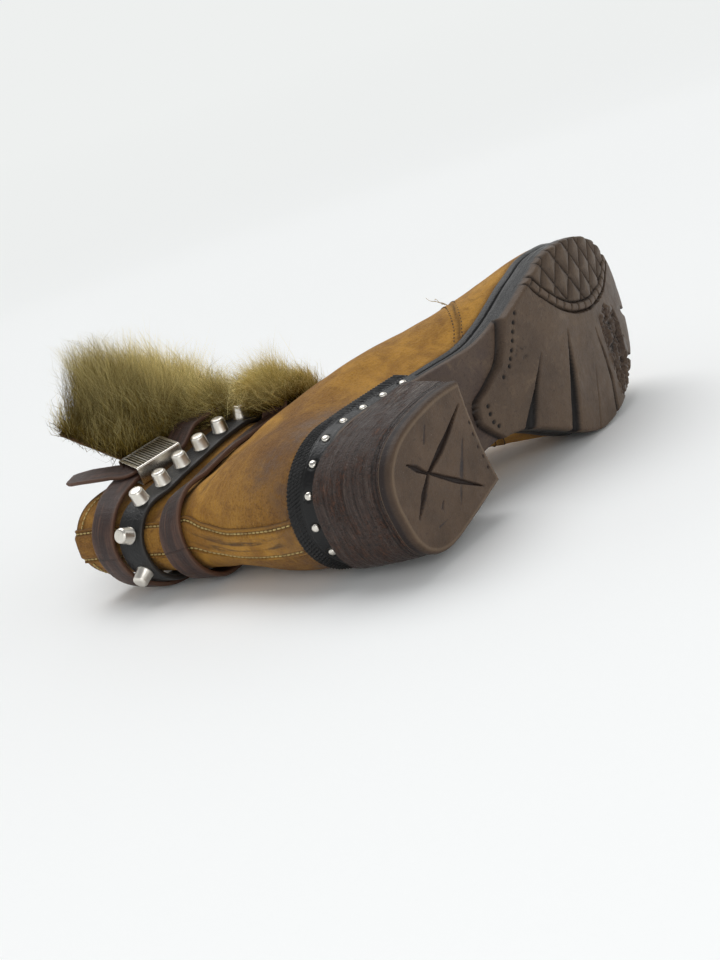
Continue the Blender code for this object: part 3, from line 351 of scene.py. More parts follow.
def at_run(places, run, values):
    """Vectors of a line at given distances along it."""
    return np.stack([np.interp(places, run, values[:, k]) for k in range(values.shape[1])], axis=-1)


def spread_over(grid, *parts):
    """Parts stacked as vectors after each is spread over the shape of a grid."""
    return np.stack([np.broadcast_to(part, grid.shape) for part in parts], axis=-1)


def near(points, route):
    """Distance of each point from a route of straight runs, and the share of the route at its foot."""
    route = np.asarray(route, float)
    runs = np.linalg.norm(np.diff(route, axis=0), axis=1)
    best = np.full(len(points), 1e9)
    share = np.zeros(len(points))
    start = 0.0
    for a, b, run in zip(route[:-1], route[1:], runs):
        t = np.clip((points - a) @ (b - a) / run**2, 0, 1)
        gap = np.linalg.norm(points - a - t[:, None] * (b - a), axis=1)
        closer = gap < best
        best = np.where(closer, gap, best)
        share = np.where(closer, (start + t * run) / runs.sum(), share)
        start += run
    return best, share


def inside(points, corners):
    """Whether each plan point lies inside a closed outline."""
    found = np.zeros(len(points), bool)
    for (ax, ay), (bx, by) in zip(corners, corners[1:] + corners[:1]):
        spans = (ay > points[:, 1]) != (by > points[:, 1])
        slope = (bx - ax) / (by - ay) if by != ay else 0.0
        found ^= spans & (points[:, 0] < ax + slope * (points[:, 1] - ay))
    return found


def wander(points, size, seed):
    """Smooth random field between -1 and 1, with lumps of a given size."""
    at = np.asarray(points, float) / size
    cell = np.floor(at).astype(np.int64)
    t = at - cell
    t = t * t * (3 - 2 * t)
    total = np.zeros(len(at))
    for corner in itertools.product((0, 1), repeat=at.shape[1]):
        key = (cell + corner) @ np.array((73856093, 19349663, 83492791)[: at.shape[1]]) + seed * 1013904223
        key = (key ^ (key >> 13)) * 1274126177 & 0x7FFFFFFF
        key = (key ^ (key >> 15)) * 668265263 & 0x7FFFFFFF
        weight = np.prod(np.where(corner, t, 1 - t), axis=1)
        total += weight * key / 0x7FFFFFFF
    return 2 * total - 1


def curve_through(route, steps=10):
    """Rounded line through the points of a route."""
    route = np.array(route, float)
    share = np.linspace(0, len(route) - 1, (len(route) - 1) * steps + 1)
    knots = np.arange(len(route))
    return np.stack([smooth(knots, route[:, k], share) for k in range(route.shape[1])], axis=1)


def section_row(v):
    """Section sizes at row v of the table, eased between rows."""
    i = min(int(v), len(SECTIONS) - 2)
    t = v - i
    here, there = SECTIONS[i], SECTIONS[i + 1]
    before = SECTIONS[i - 1] if i > 0 else 2 * here - there
    after = SECTIONS[i + 2] if i + 2 < len(SECTIONS) else 2 * there - here
    start = (1 + 2 * t) * (1 - t) ** 2 * here + t * (1 - t) ** 2 * (there - before) / 2
    end = t * t * (3 - 2 * t) * there + t * t * (t - 1) * (after - here) / 2
    return dict(zip(SECTION_COLUMNS, start + end))


def end_round(distance, length):
    """Share of the full width left at this distance from a rounded end."""
    share = np.clip(distance / length, 0, 1)
    return (1 - (1 - share) ** END_POWER) ** (1 / END_POWER)


def half_width(row, side, share):
    """Half width of a section along its chord, before its ends close."""
    heel, waist, ball = (row[f"{side}_{name}"] for name in ("heel", "waist", "ball"))
    return smooth((0, HEEL_SHARE, WAIST_SHARE, BALL_SHARE, 1), (heel, heel, waist, ball, ball), share)


def section(v, half=160, dense=500):
    """Closed curve of the upper at row v: back, outer side, front, inner side."""
    row = section_row(v)
    foot = dict(zip(SECTION_COLUMNS, SECTIONS[0]))
    share = (1 - np.cos(np.linspace(0, np.pi, dense))) / 2
    length = row["front_x"] - row["back_x"]
    x = row["back_x"] + share * length
    foot_share = (x - foot["back_x"]) / (foot["front_x"] - foot["back_x"])
    foot_chord = foot["back_z"] + foot_share * (foot["front_z"] - foot["back_z"])
    chord = row["back_z"] + share * (row["front_z"] - row["back_z"])
    z = chord + row["arch"] * (smooth(SOLE_X, SOLE_TOP, x) - foot_chord)
    ends = end_round(share * length, row["back_round"]) * end_round((1 - share) * length, row["front_round"])
    sides = []
    for side, sign in (("out", -1), ("in", 1)):
        y = row["axis_y"] + sign * half_width(row, side, share) * ends
        points = np.stack([x, y, z], axis=1)
        run = run_along(points)
        sides.append(at_run(np.linspace(0, run[-1], half + 1), run, points))
    return np.concatenate([sides[0], sides[1][-2:0:-1]])


class Last:
    """The outer face of the upper, read by place round it and by section row, both as arrays."""

    def __init__(self, rows_per_section=16):
        self.pitch = rows_per_section
        rows = np.arange((len(SECTIONS) - 1) * rows_per_section + 1) / rows_per_section
        self.points = np.array([section(v) for v in rows])
        along = np.roll(self.points, -1, axis=1) - np.roll(self.points, 1, axis=1)
        self.normals = unit(np.cross(along, np.gradient(self.points, axis=0)))
        steps = np.linalg.norm(np.diff(self.points, axis=0), axis=2)
        climbs = np.concatenate([np.zeros((1, steps.shape[1])), np.cumsum(steps, axis=0)])
        self.levels = np.arange(0.0, 260.0, 0.5)
        columns = range(self.points.shape[1])
        by_height = [np.interp(self.levels, self.points[:, j, 2], rows) for j in columns]
        by_climb = [np.interp(self.levels, climbs[:, j], rows) for j in columns]
        self.height_rows = np.stack(by_height, axis=1)
        self.climb_rows = np.stack(by_climb, axis=1)

    def sample(self, grid, line, place):
        """Values of a grid at fractional lines and at places."""
        line, place = np.broadcast_arrays(np.asarray(line, float), np.asarray(place, float))
        line = np.clip(line, 0, len(grid) - 1.001)
        column = np.mod(place, 1.0) * grid.shape[1]
        i, j = line.astype(int), column.astype(int)
        s, t = line - i, column - j
        j = j % grid.shape[1]
        k = (j + 1) % grid.shape[1]
        if grid.ndim == 3:
            s, t = s[..., None], t[..., None]
        here = grid[i, j] * (1 - s) + grid[i + 1, j] * s
        there = grid[i, k] * (1 - s) + grid[i + 1, k] * s
        return here * (1 - t) + there * t

    def read(self, place, row, offset=0.0):
        """Points at places and rows, moved off the surface by an offset."""
        point = self.sample(self.points, np.asarray(row) * self.pitch, place)
        return point + np.asarray(offset)[..., None] * self.normal(place, row)

    def normal(self, place, row):
        """Outward directions at places and rows."""
        return unit(self.sample(self.normals, np.asarray(row) * self.pitch, place))

    def row_at_height(self, place, height):
        """Section rows where the surface reaches given heights."""
        return self.sample(self.height_rows, np.asarray(height) * 2, place)

    def row_at_climb(self, place, climb):
        """Section rows at distances along the surface from the sole's edge."""
        return self.sample(self.climb_rows, np.asarray(climb) * 2, place)

    def girth(self, place, row):
        """Length round the boot of one whole turn, as it runs at a place and row."""
        step = self.read(np.asarray(place) + 0.004, row) - self.read(np.asarray(place) - 0.004, row)
        return np.linalg.norm(step, axis=-1) / 0.008


LAST = Last()


# Meshes


def grid_quads(columns, rows, around=False, close=False):
    """Quads of a grid whose points are listed column by column."""
    i = np.arange(columns if around else columns - 1)[:, None]
    j = np.arange(rows if close else rows - 1)[None, :]
    i, j = np.broadcast_arrays(i, j)
    ahead, above = (i + 1) % columns, (j + 1) % rows
    quads = np.stack([i * rows + j, ahead * rows + j, ahead * rows + above, i * rows + above], axis=-1)
    return quads.reshape(-1, 4)


def tube(rings, around=False):
    """Points and faces of a closed skin through rings of equal count, capped where it has ends."""
    columns, rows = rings.shape[:2]
    faces = [grid_quads(columns, rows, around, True)]
    if not around:
        cap = np.arange(rows)
        faces.append(np.stack([cap, (cap + (columns - 1) * rows)[::-1]]))
    return rings.reshape(-1, 3), faces


class Batch:
    """Many small things joined into one mesh."""

    def __init__(self):
        self.points = []
        self.groups = {}
        self.count = 0

    def add(self, points, faces):
        """Adds one thing by its points and faces."""
        for group in faces:
            self.groups.setdefault(group.shape[1], []).append(group + self.count)
        self.points.append(points)
        self.count += len(points)

    def joined(self):
        """All points, and all faces by their number of corners."""
        return np.concatenate(self.points), [np.concatenate(group) for group in self.groups.values()]


def facing_out(points, faces):
    """Faces of a closed skin, turned over if they look inwards."""
    middle = points.mean(axis=0)
    volume = 0.0
    for group in faces:
        corners = points[group] - middle
        for k in range(1, group.shape[1] - 1):
            volume += np.einsum("ij,ij->i", corners[:, 0], np.cross(corners[:, k], corners[:, k + 1])).sum()
    return faces if volume > 0 else [group[:, ::-1] for group in faces]


def new_object(name, data):
    """Object of the scene that shows a mesh, a light or a camera."""
    obj = bpy.data.objects.new(name, data)
    bpy.context.scene.collection.objects.link(obj)
    return obj


def add_piece(name, skin, finish, replaces=(), fields=None, sharp_deg=None):
    """Piece of the boot from points and faces in its standing frame, with values by point for its finish."""
    points, faces = skin
    faces = facing_out(points, faces)
    placed = points @ TURN.T * MM + SHIFT
    counts = np.concatenate([np.full(len(group), group.shape[1]) for group in faces])
    corners = np.concatenate([group.ravel() for group in faces])
    mesh = bpy.data.meshes.new(name)
    mesh.vertices.add(len(placed))
    mesh.vertices.foreach_set("co", placed.astype(np.float32).ravel())
    mesh.loops.add(len(corners))
    mesh.loops.foreach_set("vertex_index", corners.astype(np.int32))
    mesh.polygons.add(len(counts))
    mesh.polygons.foreach_set("loop_start", (np.cumsum(counts) - counts).astype(np.int32))
    for field, values in (fields or {}).items():
        values = np.asarray(values, np.float32)
        layer = mesh.attributes.new(field, "FLOAT" if values.ndim == 1 else "FLOAT_VECTOR", "POINT")
        layer.data.foreach_set("value" if values.ndim == 1 else "vector", values.ravel())
    mesh.update(calc_edges=True)
    mesh.validate()
    mesh.shade_smooth()
    if sharp_deg is not None:
        mesh.set_sharp_from_angle(angle=math.radians(sharp_deg))
    mesh.materials.append(finish.material)
    obj = new_object(name, mesh)
    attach(obj, "root")
    if replaces:
        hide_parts(*replaces)


def turned(profile, sides):
    """Points and faces of a turned head: a profile of radius and height, closed on its axis at both ends."""
    turns = circle(sides)
    rings = []
    for radius, height in profile:
        ring = (radius * np.cos(turns), radius * np.sin(turns), np.full(sides, height))
        rings.append(np.stack(ring, axis=1))
    return tube(np.array(rings))


def frame_of(axis):
    """Three directions as columns, the last along an axis."""
    axis = unit(np.asarray(axis, float))
    side = unit(np.cross((0.31, 0.87, 0.38), axis))
    return np.stack([side, np.cross(axis, side), axis], axis=-1)


def stitch_row(batch, centres, outs, length, width, height):
    """Adds one thread bead for each run between centres, sunk by half its height."""
    turns = circle(THREAD_SIDES)
    rings = []
    for along, girth in ((-1.0, 0.35), (-0.7, 0.85), (0.0, 1.0), (0.7, 0.85), (1.0, 0.35)):
        ring = (np.full(THREAD_SIDES, along), girth * np.cos(turns), girth * np.sin(turns))
        rings.append(np.stack(ring, axis=1))
    bead, faces = tube(np.array(rings))
    ahead = unit(np.gradient(centres, axis=0))
    for centre, along, out in zip(centres, ahead, outs):
        side = unit(np.cross(out, along))
        axes = np.stack([along * length / 2, side * width / 2, np.cross(along, side) * height / 2])
        batch.add(centre + bead @ axes, faces)


# Finishes


class Wire:
    """An output of a node. Arithmetic on it adds Math nodes."""

    def __init__(self, finish, socket):
        self.finish = finish
        self.socket = socket

    def math(self, operation, first, second):
        """A Math node on two values or wires."""
        return self.finish.node("ShaderNodeMath", {"operation": operation}, {0: first, 1: second})

    def __add__(self, other):
        return self.math("ADD", self, other)

    def __radd__(self, other):
        return self.math("ADD", other, self)

    def __sub__(self, other):
        return self.math("SUBTRACT", self, other)

    def __rsub__(self, other):
        return self.math("SUBTRACT", other, self)

    def __mul__(self, other):
        return self.math("MULTIPLY", self, other)

    def __rmul__(self, other):
        return self.math("MULTIPLY", other, self)


class Finish:
    """A procedural material, and the nodes that it is mixed from."""

    def __init__(self, name, constants=None):
        self.material = bpy.data.materials.new(name)
        self.material.use_nodes = True
        self.tree = self.material.node_tree
        self.shader = self.tree.nodes["Principled BSDF"]
        for socket, value in (constants or {}).items():
            self.join(value, self.shader.inputs[socket])

    def join(self, value, socket):
        """Links a wire to a socket, or sets a plain value on it."""
        if isinstance(value, Wire):
            self.tree.links.new(value.socket, socket)
        elif socket.type == "RGBA":
            socket.default_value = (*value[:3], 1.0)
        else:
            socket.default_value = value

    def node(self, kind, settings, sockets, output=0):
        """Adds a node: its settings first, then the values or links of its sockets."""
        made = self.tree.nodes.new(kind)
        for key, value in settings.items():
            setattr(made, key, value)
        for key, value in sockets.items():
            self.join(value, made.inputs[key])
        return Wire(self, made.outputs[output])

    def field(self, name):
        """A value that the mesh carries at its points."""
        return self.node("ShaderNodeAttribute", {"attribute_name": name}, {}, "Fac")

    def way(self, stretch=(1.0, 1.0, 1.0), field=None):
        """Coordinates in millimetres, of the object or of a field, stretched along each axis."""
        if field:
            start = self.node("ShaderNodeAttribute", {"attribute_name": field}, {}, "Vector")
            scale = stretch
        else:
            start = self.node("ShaderNodeTexCoord", {}, {}, "Object")
            scale = tuple(1000 * v for v in stretch)
        return self.node("ShaderNodeVectorMath", {"operation": "MULTIPLY"}, {0: start, 1: scale})

    def noise(self, way, size, detail=3.0, roughness=0.55, twist=0.0):
        """Cloudy noise with lumps of a size in millimetres."""
        sockets = {"Vector": way, "Scale": 1 / size, "Detail": detail}
        sockets |= {"Roughness": roughness, "Distortion": twist}
        return self.node("ShaderNodeTexNoise", {}, sockets)

    def cells(self, way, size):
        """Distance within cells of a size in millimetres."""
        return self.node("ShaderNodeTexVoronoi", {"feature": "F1"}, {"Vector": way, "Scale": 1 / size})

    def ramp(self, value, low, high, start=0.0, end=1.0):
        """Eased change of a value from start to end as it goes from low to high."""
        sockets = {0: value, 1: low, 2: high, 3: start, 4: end}
        return self.node("ShaderNodeMapRange", {"interpolation_type": "SMOOTHSTEP"}, sockets)

    def mix(self, share, first, second):
        """Mix of two colours by a share."""
        settings = {"data_type": "RGBA", "blend_type": "MIX"}
        return self.node("ShaderNodeMix", settings, {0: share, 6: first, 7: second}, 2)

    def bump(self, height, depth):
        """Normal from a height field whose full range is a depth in millimetres."""
        sockets = {"Height": height, "Distance": depth * MM, "Strength": 1.0}
        return self.node("ShaderNodeBump", {}, sockets)

    def finish(self, colour, roughness, normal=None):
        """Feeds the shader."""
        self.join(colour, self.shader.inputs["Base Color"])
        self.join(roughness, self.shader.inputs["Roughness"])
        if normal:
            self.join(normal, self.shader.inputs["Normal"])
        return self


def sole_rubber(colours):
    """Worn brown rubber: mottled faces, painted shade in grooves and highlight on crowns, waxy grey waist,
    blackened edge.
    """
    paint = Finish("sole_rubber", {"Specular IOR Level": 0.28})
    way = paint.way()
    cloud = paint.noise(way, 26.0, 4.0, 0.6)
    speck = paint.noise(way, 1.6, 3.0, 0.7)
    pad = paint.field("pad")
    waist = paint.mix(paint.ramp(cloud, 0.35, 0.7), colours.waist, tone(92, 76, 63))
    face = paint.mix(paint.ramp(cloud, 0.35, 0.7), colours.pad, tone(76, 61, 49))
    face = paint.mix(pad, waist, face)
    rub = paint.ramp(paint.noise(way, 9.0, 5.0, 0.7, 0.6), 0.52, 0.72)
    face = paint.mix(rub * 0.45, face, tone(112, 93, 74))
    face = paint.mix(paint.ramp(speck, 0.54, 0.74) * 0.5, face, tone(44, 34, 28))
    # Painted highlight: the crown field lightens the raised crowns of the diamonds and of the bark.
    face = paint.mix(paint.field("crown") * 0.25, face, tone(112, 94, 75))
    face = paint.mix(paint.field("scuff") * paint.ramp(speck, 0.4, 0.6), face, tone(34, 26, 22))
    face = paint.mix(paint.field("bark") * paint.ramp(speck, 0.25, 0.65) * 0.75, face, tone(54, 37, 27))
    # Painted shade: the groove field darkens the grooves, tread lines, pad edge, dots and deep bark.
    face = paint.mix(paint.field("groove"), face, tone(16, 11, 9))
    face = paint.mix(paint.field("wall"), face, colours.black)
    dots = paint.ramp(paint.noise(way, 0.9, 2.0, 0.6), 0.74, 0.79) * pad
    face = paint.mix(dots * 0.5, face, tone(168, 156, 140))
    rough = 0.36 + 0.3 * paint.noise(way, 5.0, 3.0) - 0.14 * paint.field("bark") - 0.14 * paint.field("wall")
    relief = paint.bump(paint.noise(way, 0.7, 2.0) + paint.noise(way, 4.0, 3.0) * 1.5, 0.24)
    return paint.finish(face, rough, relief)


def heel_face_rubber(colours):
    """Taupe rubber of the heel's wear face, with painted shade in its slashes and darker towards the stack.
    """
    paint = Finish("heel_face_rubber", {"Specular IOR Level": 0.24})
    way = paint.way()
    cloud = paint.noise(way, 18.0, 4.0, 0.6)
    face = paint.mix(paint.ramp(cloud, 0.3, 0.75), colours.heel_face, tone(72, 57, 45))
    face = paint.mix(paint.ramp(paint.noise(way, 1.1, 3.0, 0.7), 0.58, 0.76) * 0.4, face, tone(118, 98, 78))
    face = paint.mix(paint.ramp(paint.noise(way, 2.2, 4.0, 0.7), 0.56, 0.72) * 0.55, face, tone(54, 41, 33))
    face = paint.mix(paint.field("rim"), face, tone(40, 31, 29))
    face = paint.mix(paint.field("light"), face, tone(138, 118, 96))
    face = paint.mix(paint.field("smear") * paint.ramp(cloud, 0.3, 0.6), face, tone(52, 47, 48))
    # Painted shade: the groove field darkens the slashes by their depth, and the nicks.
    face = paint.mix(paint.field("groove"), face, tone(36, 25, 20))
    chips = paint.ramp(paint.noise(way, 1.3, 2.0, 0.6), 0.74, 0.79)
    face = paint.mix(chips * 0.6, face, tone(176, 164, 148))
    rough = 0.38 + 0.28 * paint.noise(way, 6.0, 3.0)
    relief = paint.bump(paint.noise(way, 0.8, 2.0) + paint.noise(way, 5.0, 3.0) * 1.4, 0.26)
    return paint.finish(face, rough, relief)


def stacked_leather(colours):
    """Edges of stacked lifts: dark brown, with fine lines round the heel and red-brown worn flecks."""
    paint = Finish("stacked_leather", {"Specular IOR Level": 0.42})
    way = paint.way()
    lines = paint.way((0.05, 1.0, 0.0), "run")
    fibre = paint.noise(lines, 0.8, 4.0, 0.75)
    face = paint.mix(paint.ramp(fibre, 0.38, 0.66), colours.stack, tone(66, 48, 40))
    patch = paint.ramp(paint.noise(way, 13.0, 3.0, 0.6), 0.42, 0.66)
    flecks = paint.ramp(paint.noise(paint.way((0.4, 1.0, 0.0), "run"), 2.2, 5.0, 0.8), 0.46, 0.64)
    face = paint.mix(flecks * patch * 0.85, face, tone(112, 72, 50))
    pits = paint.ramp(paint.noise(way, 1.3, 4.0, 0.7), 0.52, 0.66)
    face = paint.mix(pits * 0.8, face, tone(20, 13, 12))
    grey = paint.ramp(paint.noise(lines, 1.1, 3.0, 0.7), 0.52, 0.64) * paint.field("scuff")
    face = paint.mix(grey * 0.8, face, tone(128, 116, 106))
    face = paint.mix(paint.field("groove"), face, tone(12, 8, 7))
    rough = 0.18 + 0.36 * paint.noise(way, 2.4, 3.0) + 0.16 * patch
    relief = paint.bump(0.8 * fibre + paint.noise(way, 1.1, 3.0) + 0.8 * flecks * patch, 1.0)
    return paint.finish(face, rough, relief)


def nubuck(name, colours):
    """Waxed tan nubuck: cloudy ochre nap, brown in the shaft, and burnished where it rubs."""
    paint = Finish(name, {"Sheen Weight": 0.05, "Sheen Roughness": 0.45, "Specular IOR Level": 0.22})
    way = paint.way()
    cloud = paint.noise(way, 24.0, 4.0, 0.6, 0.5)
    nap = paint.noise(way, 1.2, 4.0, 0.72)
    brown = paint.field("brown")
    brushed = paint.noise(paint.way((0.18, 1.0, 0.0), "run"), 2.4, 4.0, 0.65)
    skin = paint.mix(paint.ramp(cloud, 0.36, 0.66), colours.tan, colours.ochre)
    skin = paint.mix(brown, skin, colours.brown)
    stains = paint.ramp(paint.noise(way, 8.0, 4.0, 0.65, 0.8), 0.5, 0.72)
    skin = paint.mix(stains * 0.4, skin, tone(116, 78, 26))
    skin = paint.mix(paint.ramp(nap, 0.48, 0.66) * (0.25 + 0.4 * brown), skin, tone(82, 48, 16))
    skin = paint.mix(paint.ramp(brushed, 0.53, 0.72) * 0.3, skin, tone(196, 148, 66))
    spots = paint.ramp(paint.noise(way, 2.2, 4.0, 0.78), 0.53, 0.63)
    skin = paint.mix(spots * brown * 0.7, skin, tone(76, 40, 16))
    scratches = paint.ramp(paint.noise(paint.way((1.0, 0.06, 1.0)), 0.9, 3.0, 0.7), 0.6, 0.72)
    skin = paint.mix(scratches * 0.3, skin, tone(192, 150, 92))
    # Painted shade in the folds, creases and seams and where the leather meets other parts; cut edges are
    # darker too.
    skin = paint.mix(paint.field("fold"), skin, tone(58, 36, 12))
    rub = paint.field("burnish") * paint.ramp(paint.noise(way, 5.0, 4.0, 0.65), 0.22, 0.6)
    skin = paint.mix(rub * 0.7, skin, tone(90, 68, 52))
    smear = paint.field("smear") * paint.ramp(brushed, 0.3, 0.56)
    skin = paint.mix(smear * 0.85, skin, tone(54, 37, 24))
    rough = 0.66 - 0.34 * rub + 0.14 * nap - 0.12 * smear
    grain = nap * 0.9 + paint.noise(way, 0.5, 2.0) + 0.8 * brushed + paint.noise(way, 3.0, 3.0)
    return paint.finish(skin, rough, paint.bump(grain, 0.5))


def black_leather(name, colour, shine):
    """Black finished leather with fine pores and a soft shine."""
    paint = Finish(name, {"Specular IOR Level": 0.36})
    way = paint.way()
    pores = paint.cells(way, 0.9)
    dust = paint.ramp(paint.noise(way, 7.0, 5.0, 0.7), 0.5, 0.75)
    face = paint.mix(dust * 0.25, colour, tone(40, 38, 37))
    # Painted shade: on the rand the groove field darkens its recesses and tack seats; on the welt it is the
    # line between its layers.
    face = paint.mix(paint.field("groove"), face, tone(4, 4, 4))
    face = paint.mix(paint.field("worn"), face, tone(62, 58, 55))
    rough = shine + 0.2 * paint.noise(way, 2.5, 4.0)
    relief = paint.bump(pores * 0.5 + paint.noise(way, 1.8, 3.0), 0.2)
    return paint.finish(face, rough, relief)


def strap_leather(name, colour):
    """Dark brown strap: pull-up streaks along it, paler cut edges and creases across it."""
    paint = Finish(name, {"Specular IOR Level": 0.36})
    way = paint.way()
    streak = paint.noise(paint.way((0.08, 1.0, 1.0), "run"), 1.8, 4.0, 0.65)
    creases = paint.noise(paint.way((1.0, 0.12, 0.3), "run"), 1.6, 4.0, 0.7)
    face = paint.mix(paint.ramp(streak, 0.4, 0.7), colour, tone(80, 55, 44))
    face = paint.mix(paint.ramp(paint.noise(way, 8.0, 4.0, 0.6), 0.48, 0.72) * 0.6, face, tone(27, 18, 15))
    face = paint.mix(paint.field("edge") * 0.55, face, tone(102, 72, 54))
    rough = 0.32 + 0.28 * paint.noise(way, 2.6, 4.0)
    relief = paint.bump(0.8 * creases + 0.6 * streak + 0.6 * paint.noise(way, 0.6, 2.0), 0.4)
    return paint.finish(face, rough, relief)


def metal(name, colour, rough):
    """Nickel with fine scratches and tarnish."""
    paint = Finish(name, {"Metallic": 1.0})
    way = paint.way()
    tarnish = paint.ramp(paint.noise(way, 2.6, 4.0, 0.65), 0.55, 0.85)
    face = paint.mix(tarnish * 0.4, colour, tone(128, 118, 104))
    # The groove field darkens the buckle's rib troughs, and paints shade over the sleeve's inner face.
    face = paint.mix(paint.field("groove"), face, tone(46, 40, 32))
    scratch = paint.noise(way, 0.35, 3.0, 0.6)
    rough_here = rough + 0.14 * tarnish + 0.12 * scratch
    relief = paint.bump(scratch, 0.02)
    return paint.finish(face, rough_here, relief)


def fur_hair(colours):
    """Hair: dark olive at the root, partly as painted shade deep in the coat, straw at the tip, each with its
    own tone.
    """
    paint = Finish("fur_hair", {"Specular IOR Level": 0.12})
    up = paint.field("up")
    hair = paint.mix(paint.ramp(up, 0.05, 0.4), colours.root, colours.middle)
    hair = paint.mix(paint.ramp(up, 0.3, 0.85), hair, colours.tip)
    # Painted shade: the tone field also darkens hair towards the fur's outer edge.
    hair = paint.mix(paint.field("tone"), hair, tone(66, 50, 10))
    return paint.finish(hair, 0.5 + 0.2 * paint.field("tone"))


def raw_hide(colours):
    """Skin side of the fur: brown and fibrous."""
    paint = Finish("raw_hide")
    way = paint.way()
    fibre = paint.noise(way, 2.2, 5.0, 0.7)
    face = paint.mix(paint.ramp(fibre, 0.35, 0.7), colours.root, tone(104, 72, 44))
    return paint.finish(face, 0.8 + 0.15 * fibre, paint.bump(fibre, 0.3))


def thread_finish(name, colour):
    """Waxed thread, soiled here and there."""
    paint = Finish(name)
    way = paint.way()
    soil = paint.ramp(paint.noise(way, 5.0, 3.0), 0.45, 0.75)
    ply = paint.noise(way, 0.35, 2.0)
    return paint.finish(paint.mix(soil, colour, tone(120, 92, 52)), 0.65 + 0.1 * ply, paint.bump(ply, 0.1))


def lining_leather(colours):
    """Pale pigskin lining with pores in small groups and rubbed patches."""
    paint = Finish("lining_leather")
    way = paint.way()
    pores = paint.ramp(paint.cells(way, 2.2), 0.0, 0.25)
    rubbed = paint.ramp(paint.noise(way, 20.0, 4.0, 0.6), 0.4, 0.7)
    face = paint.mix(rubbed, colours.lining, tone(150, 116, 78))
    face = paint.mix((1 - pores) * 0.5, face, tone(96, 68, 44))
    return paint.finish(face, 0.7 + 0.15 * rubbed, paint.bump(pores, 0.12))


def tape_cloth():
    """Black woven zip tape."""
    paint = Finish("tape_cloth")
    weave = paint.cells(paint.way((1.0, 1.0, 1.0), "run"), 0.7)
    face = paint.mix(paint.ramp(weave, 0.2, 0.8), tone(30, 28, 27), tone(52, 48, 45))
    return paint.finish(face, 0.85 + 0.1 * weave, paint.bump(weave, 0.2))


def floor_paper(colour, glow):
    """Pale backdrop paper that glows evenly where it sweeps up far behind the boot."""
    paint = Finish("floor_paper", {"Specular IOR Level": 0.1, "Emission Strength": 1.0})
    far = paint.field("far")
    grain = paint.noise(paint.way(), 3.0, 3.0)
    face = paint.mix(grain * 0.06, colour, tone(228, 229, 230))
    paint.join(paint.mix(far, tone(0, 0, 0), glow), paint.shader.inputs["Emission Color"])
    return paint.finish(paint.mix(far, face, tone(0, 0, 0)), 0.85 + 0.1 * grain)


# Sole and heel


def sole_edges(x, margin):
    """Outer and inner edge of the sole's outline at each x."""
    row = section_row(0.0)
    back, front = row["back_x"] - margin, row["front_x"] + margin
    share = (x - back) / (front - back)
    ends = end_round(x - back, row["back_round"] + margin) * end_round(front - x, row["front_round"] + margin)
    outer = row["axis_y"] - (half_width(row, "out", share) + margin) * ends
    inner = row["axis_y"] + (half_width(row, "in", share) + margin) * ends
    return outer, inner


def groove_depth(points, route, widths, depth):
    """Depth of one tapering groove with sloped sides, easing in from its tip."""
    gap, share = near(points, route)
    half = np.interp(share, np.linspace(0, 1, len(widths)), widths) / 2
    slope = np.maximum(0.9, 0.7 * half)
    return depth * ease(0, 1, (half + 0.3 * slope - gap) / slope) * (0.35 + 0.65 * ease(0, 0.3, share))


def edge_rounding(edge, radius):
    """Rise of an underside towards its edge, as a quarter round."""
    return radius - np.sqrt(np.clip(radius**2 - np.clip(radius - edge, 0, radius) ** 2, 0, None))


def tread_relief(points, deep):
    """Depth of the diamond tread and its bounding bricks, painted shade in its lines and hollows, and painted
    highlight on its crowns.
    """
    bound = curve_through(TREAD_BOUND)
    gap, share = near(points, bound)
    side = points[:, 1] - np.interp(points[:, 0], *bound.T)
    within = np.where(side < 0, gap, -gap)
    length = np.linalg.norm(np.diff(bound, axis=0), axis=1).sum()
    drop = np.zeros(len(points))
    lines = np.zeros(len(points))
    for first, pitch, slant in TREAD_FAMILIES:
        phase = (points[:, 0] - first - slant * (points[:, 1] - TREAD_LEVEL_Y)) / pitch
        away = np.abs(phase - np.round(phase)) * 2
        drop = np.maximum(drop, deep * (1 - away) ** 2.2)
        lines = np.maximum(lines, ease(0.85, 0.2, away * pitch / 2 / math.hypot(1, slant)))
    diamonds = ease(BRICK_BAND + 0.2, BRICK_BAND + 0.9, within)
    # Painted highlight on the diamonds' raised crowns.
    crown = ease(0.35, 0.1, drop / deep) * diamonds
    relief = (drop + 0.8 * lines) * diamonds
    brick = np.abs(share * length / BRICK_PITCH % 1 - 0.5) * BRICK_PITCH
    joints = ease(BRICK_PITCH / 2 - 0.9, BRICK_PITCH / 2 - 0.3, brick) * ease(0, 0.5, within)
    joints = joints * ease(BRICK_BAND + 0.4, BRICK_BAND - 0.4, within)
    rails = np.maximum(ease(1.0, 0.2, np.abs(within - 0.4)), ease(0.9, 0.2, np.abs(within - BRICK_BAND)))
    on_pad = points[:, 0] > TREAD_START_X
    middle = BRICK_BAND / 2
    pillow = 0.6 * deep * (np.abs(within - middle) / middle) ** 3 * (np.abs(within - middle) < middle + 0.2)
    band = np.maximum(joints * 0.9, rails * on_pad * 1.3) + pillow * on_pad
    # Painted shade in the tread's lines, brick joints and rails, and over the diamonds' low parts.
    dark = np.maximum(lines * diamonds, np.maximum(joints * 0.7, rails * on_pad)) * 0.85
    dark = np.maximum(dark, (0.3 - 0.15 * crown) * diamonds)
    return np.maximum(relief, band), dark, crown


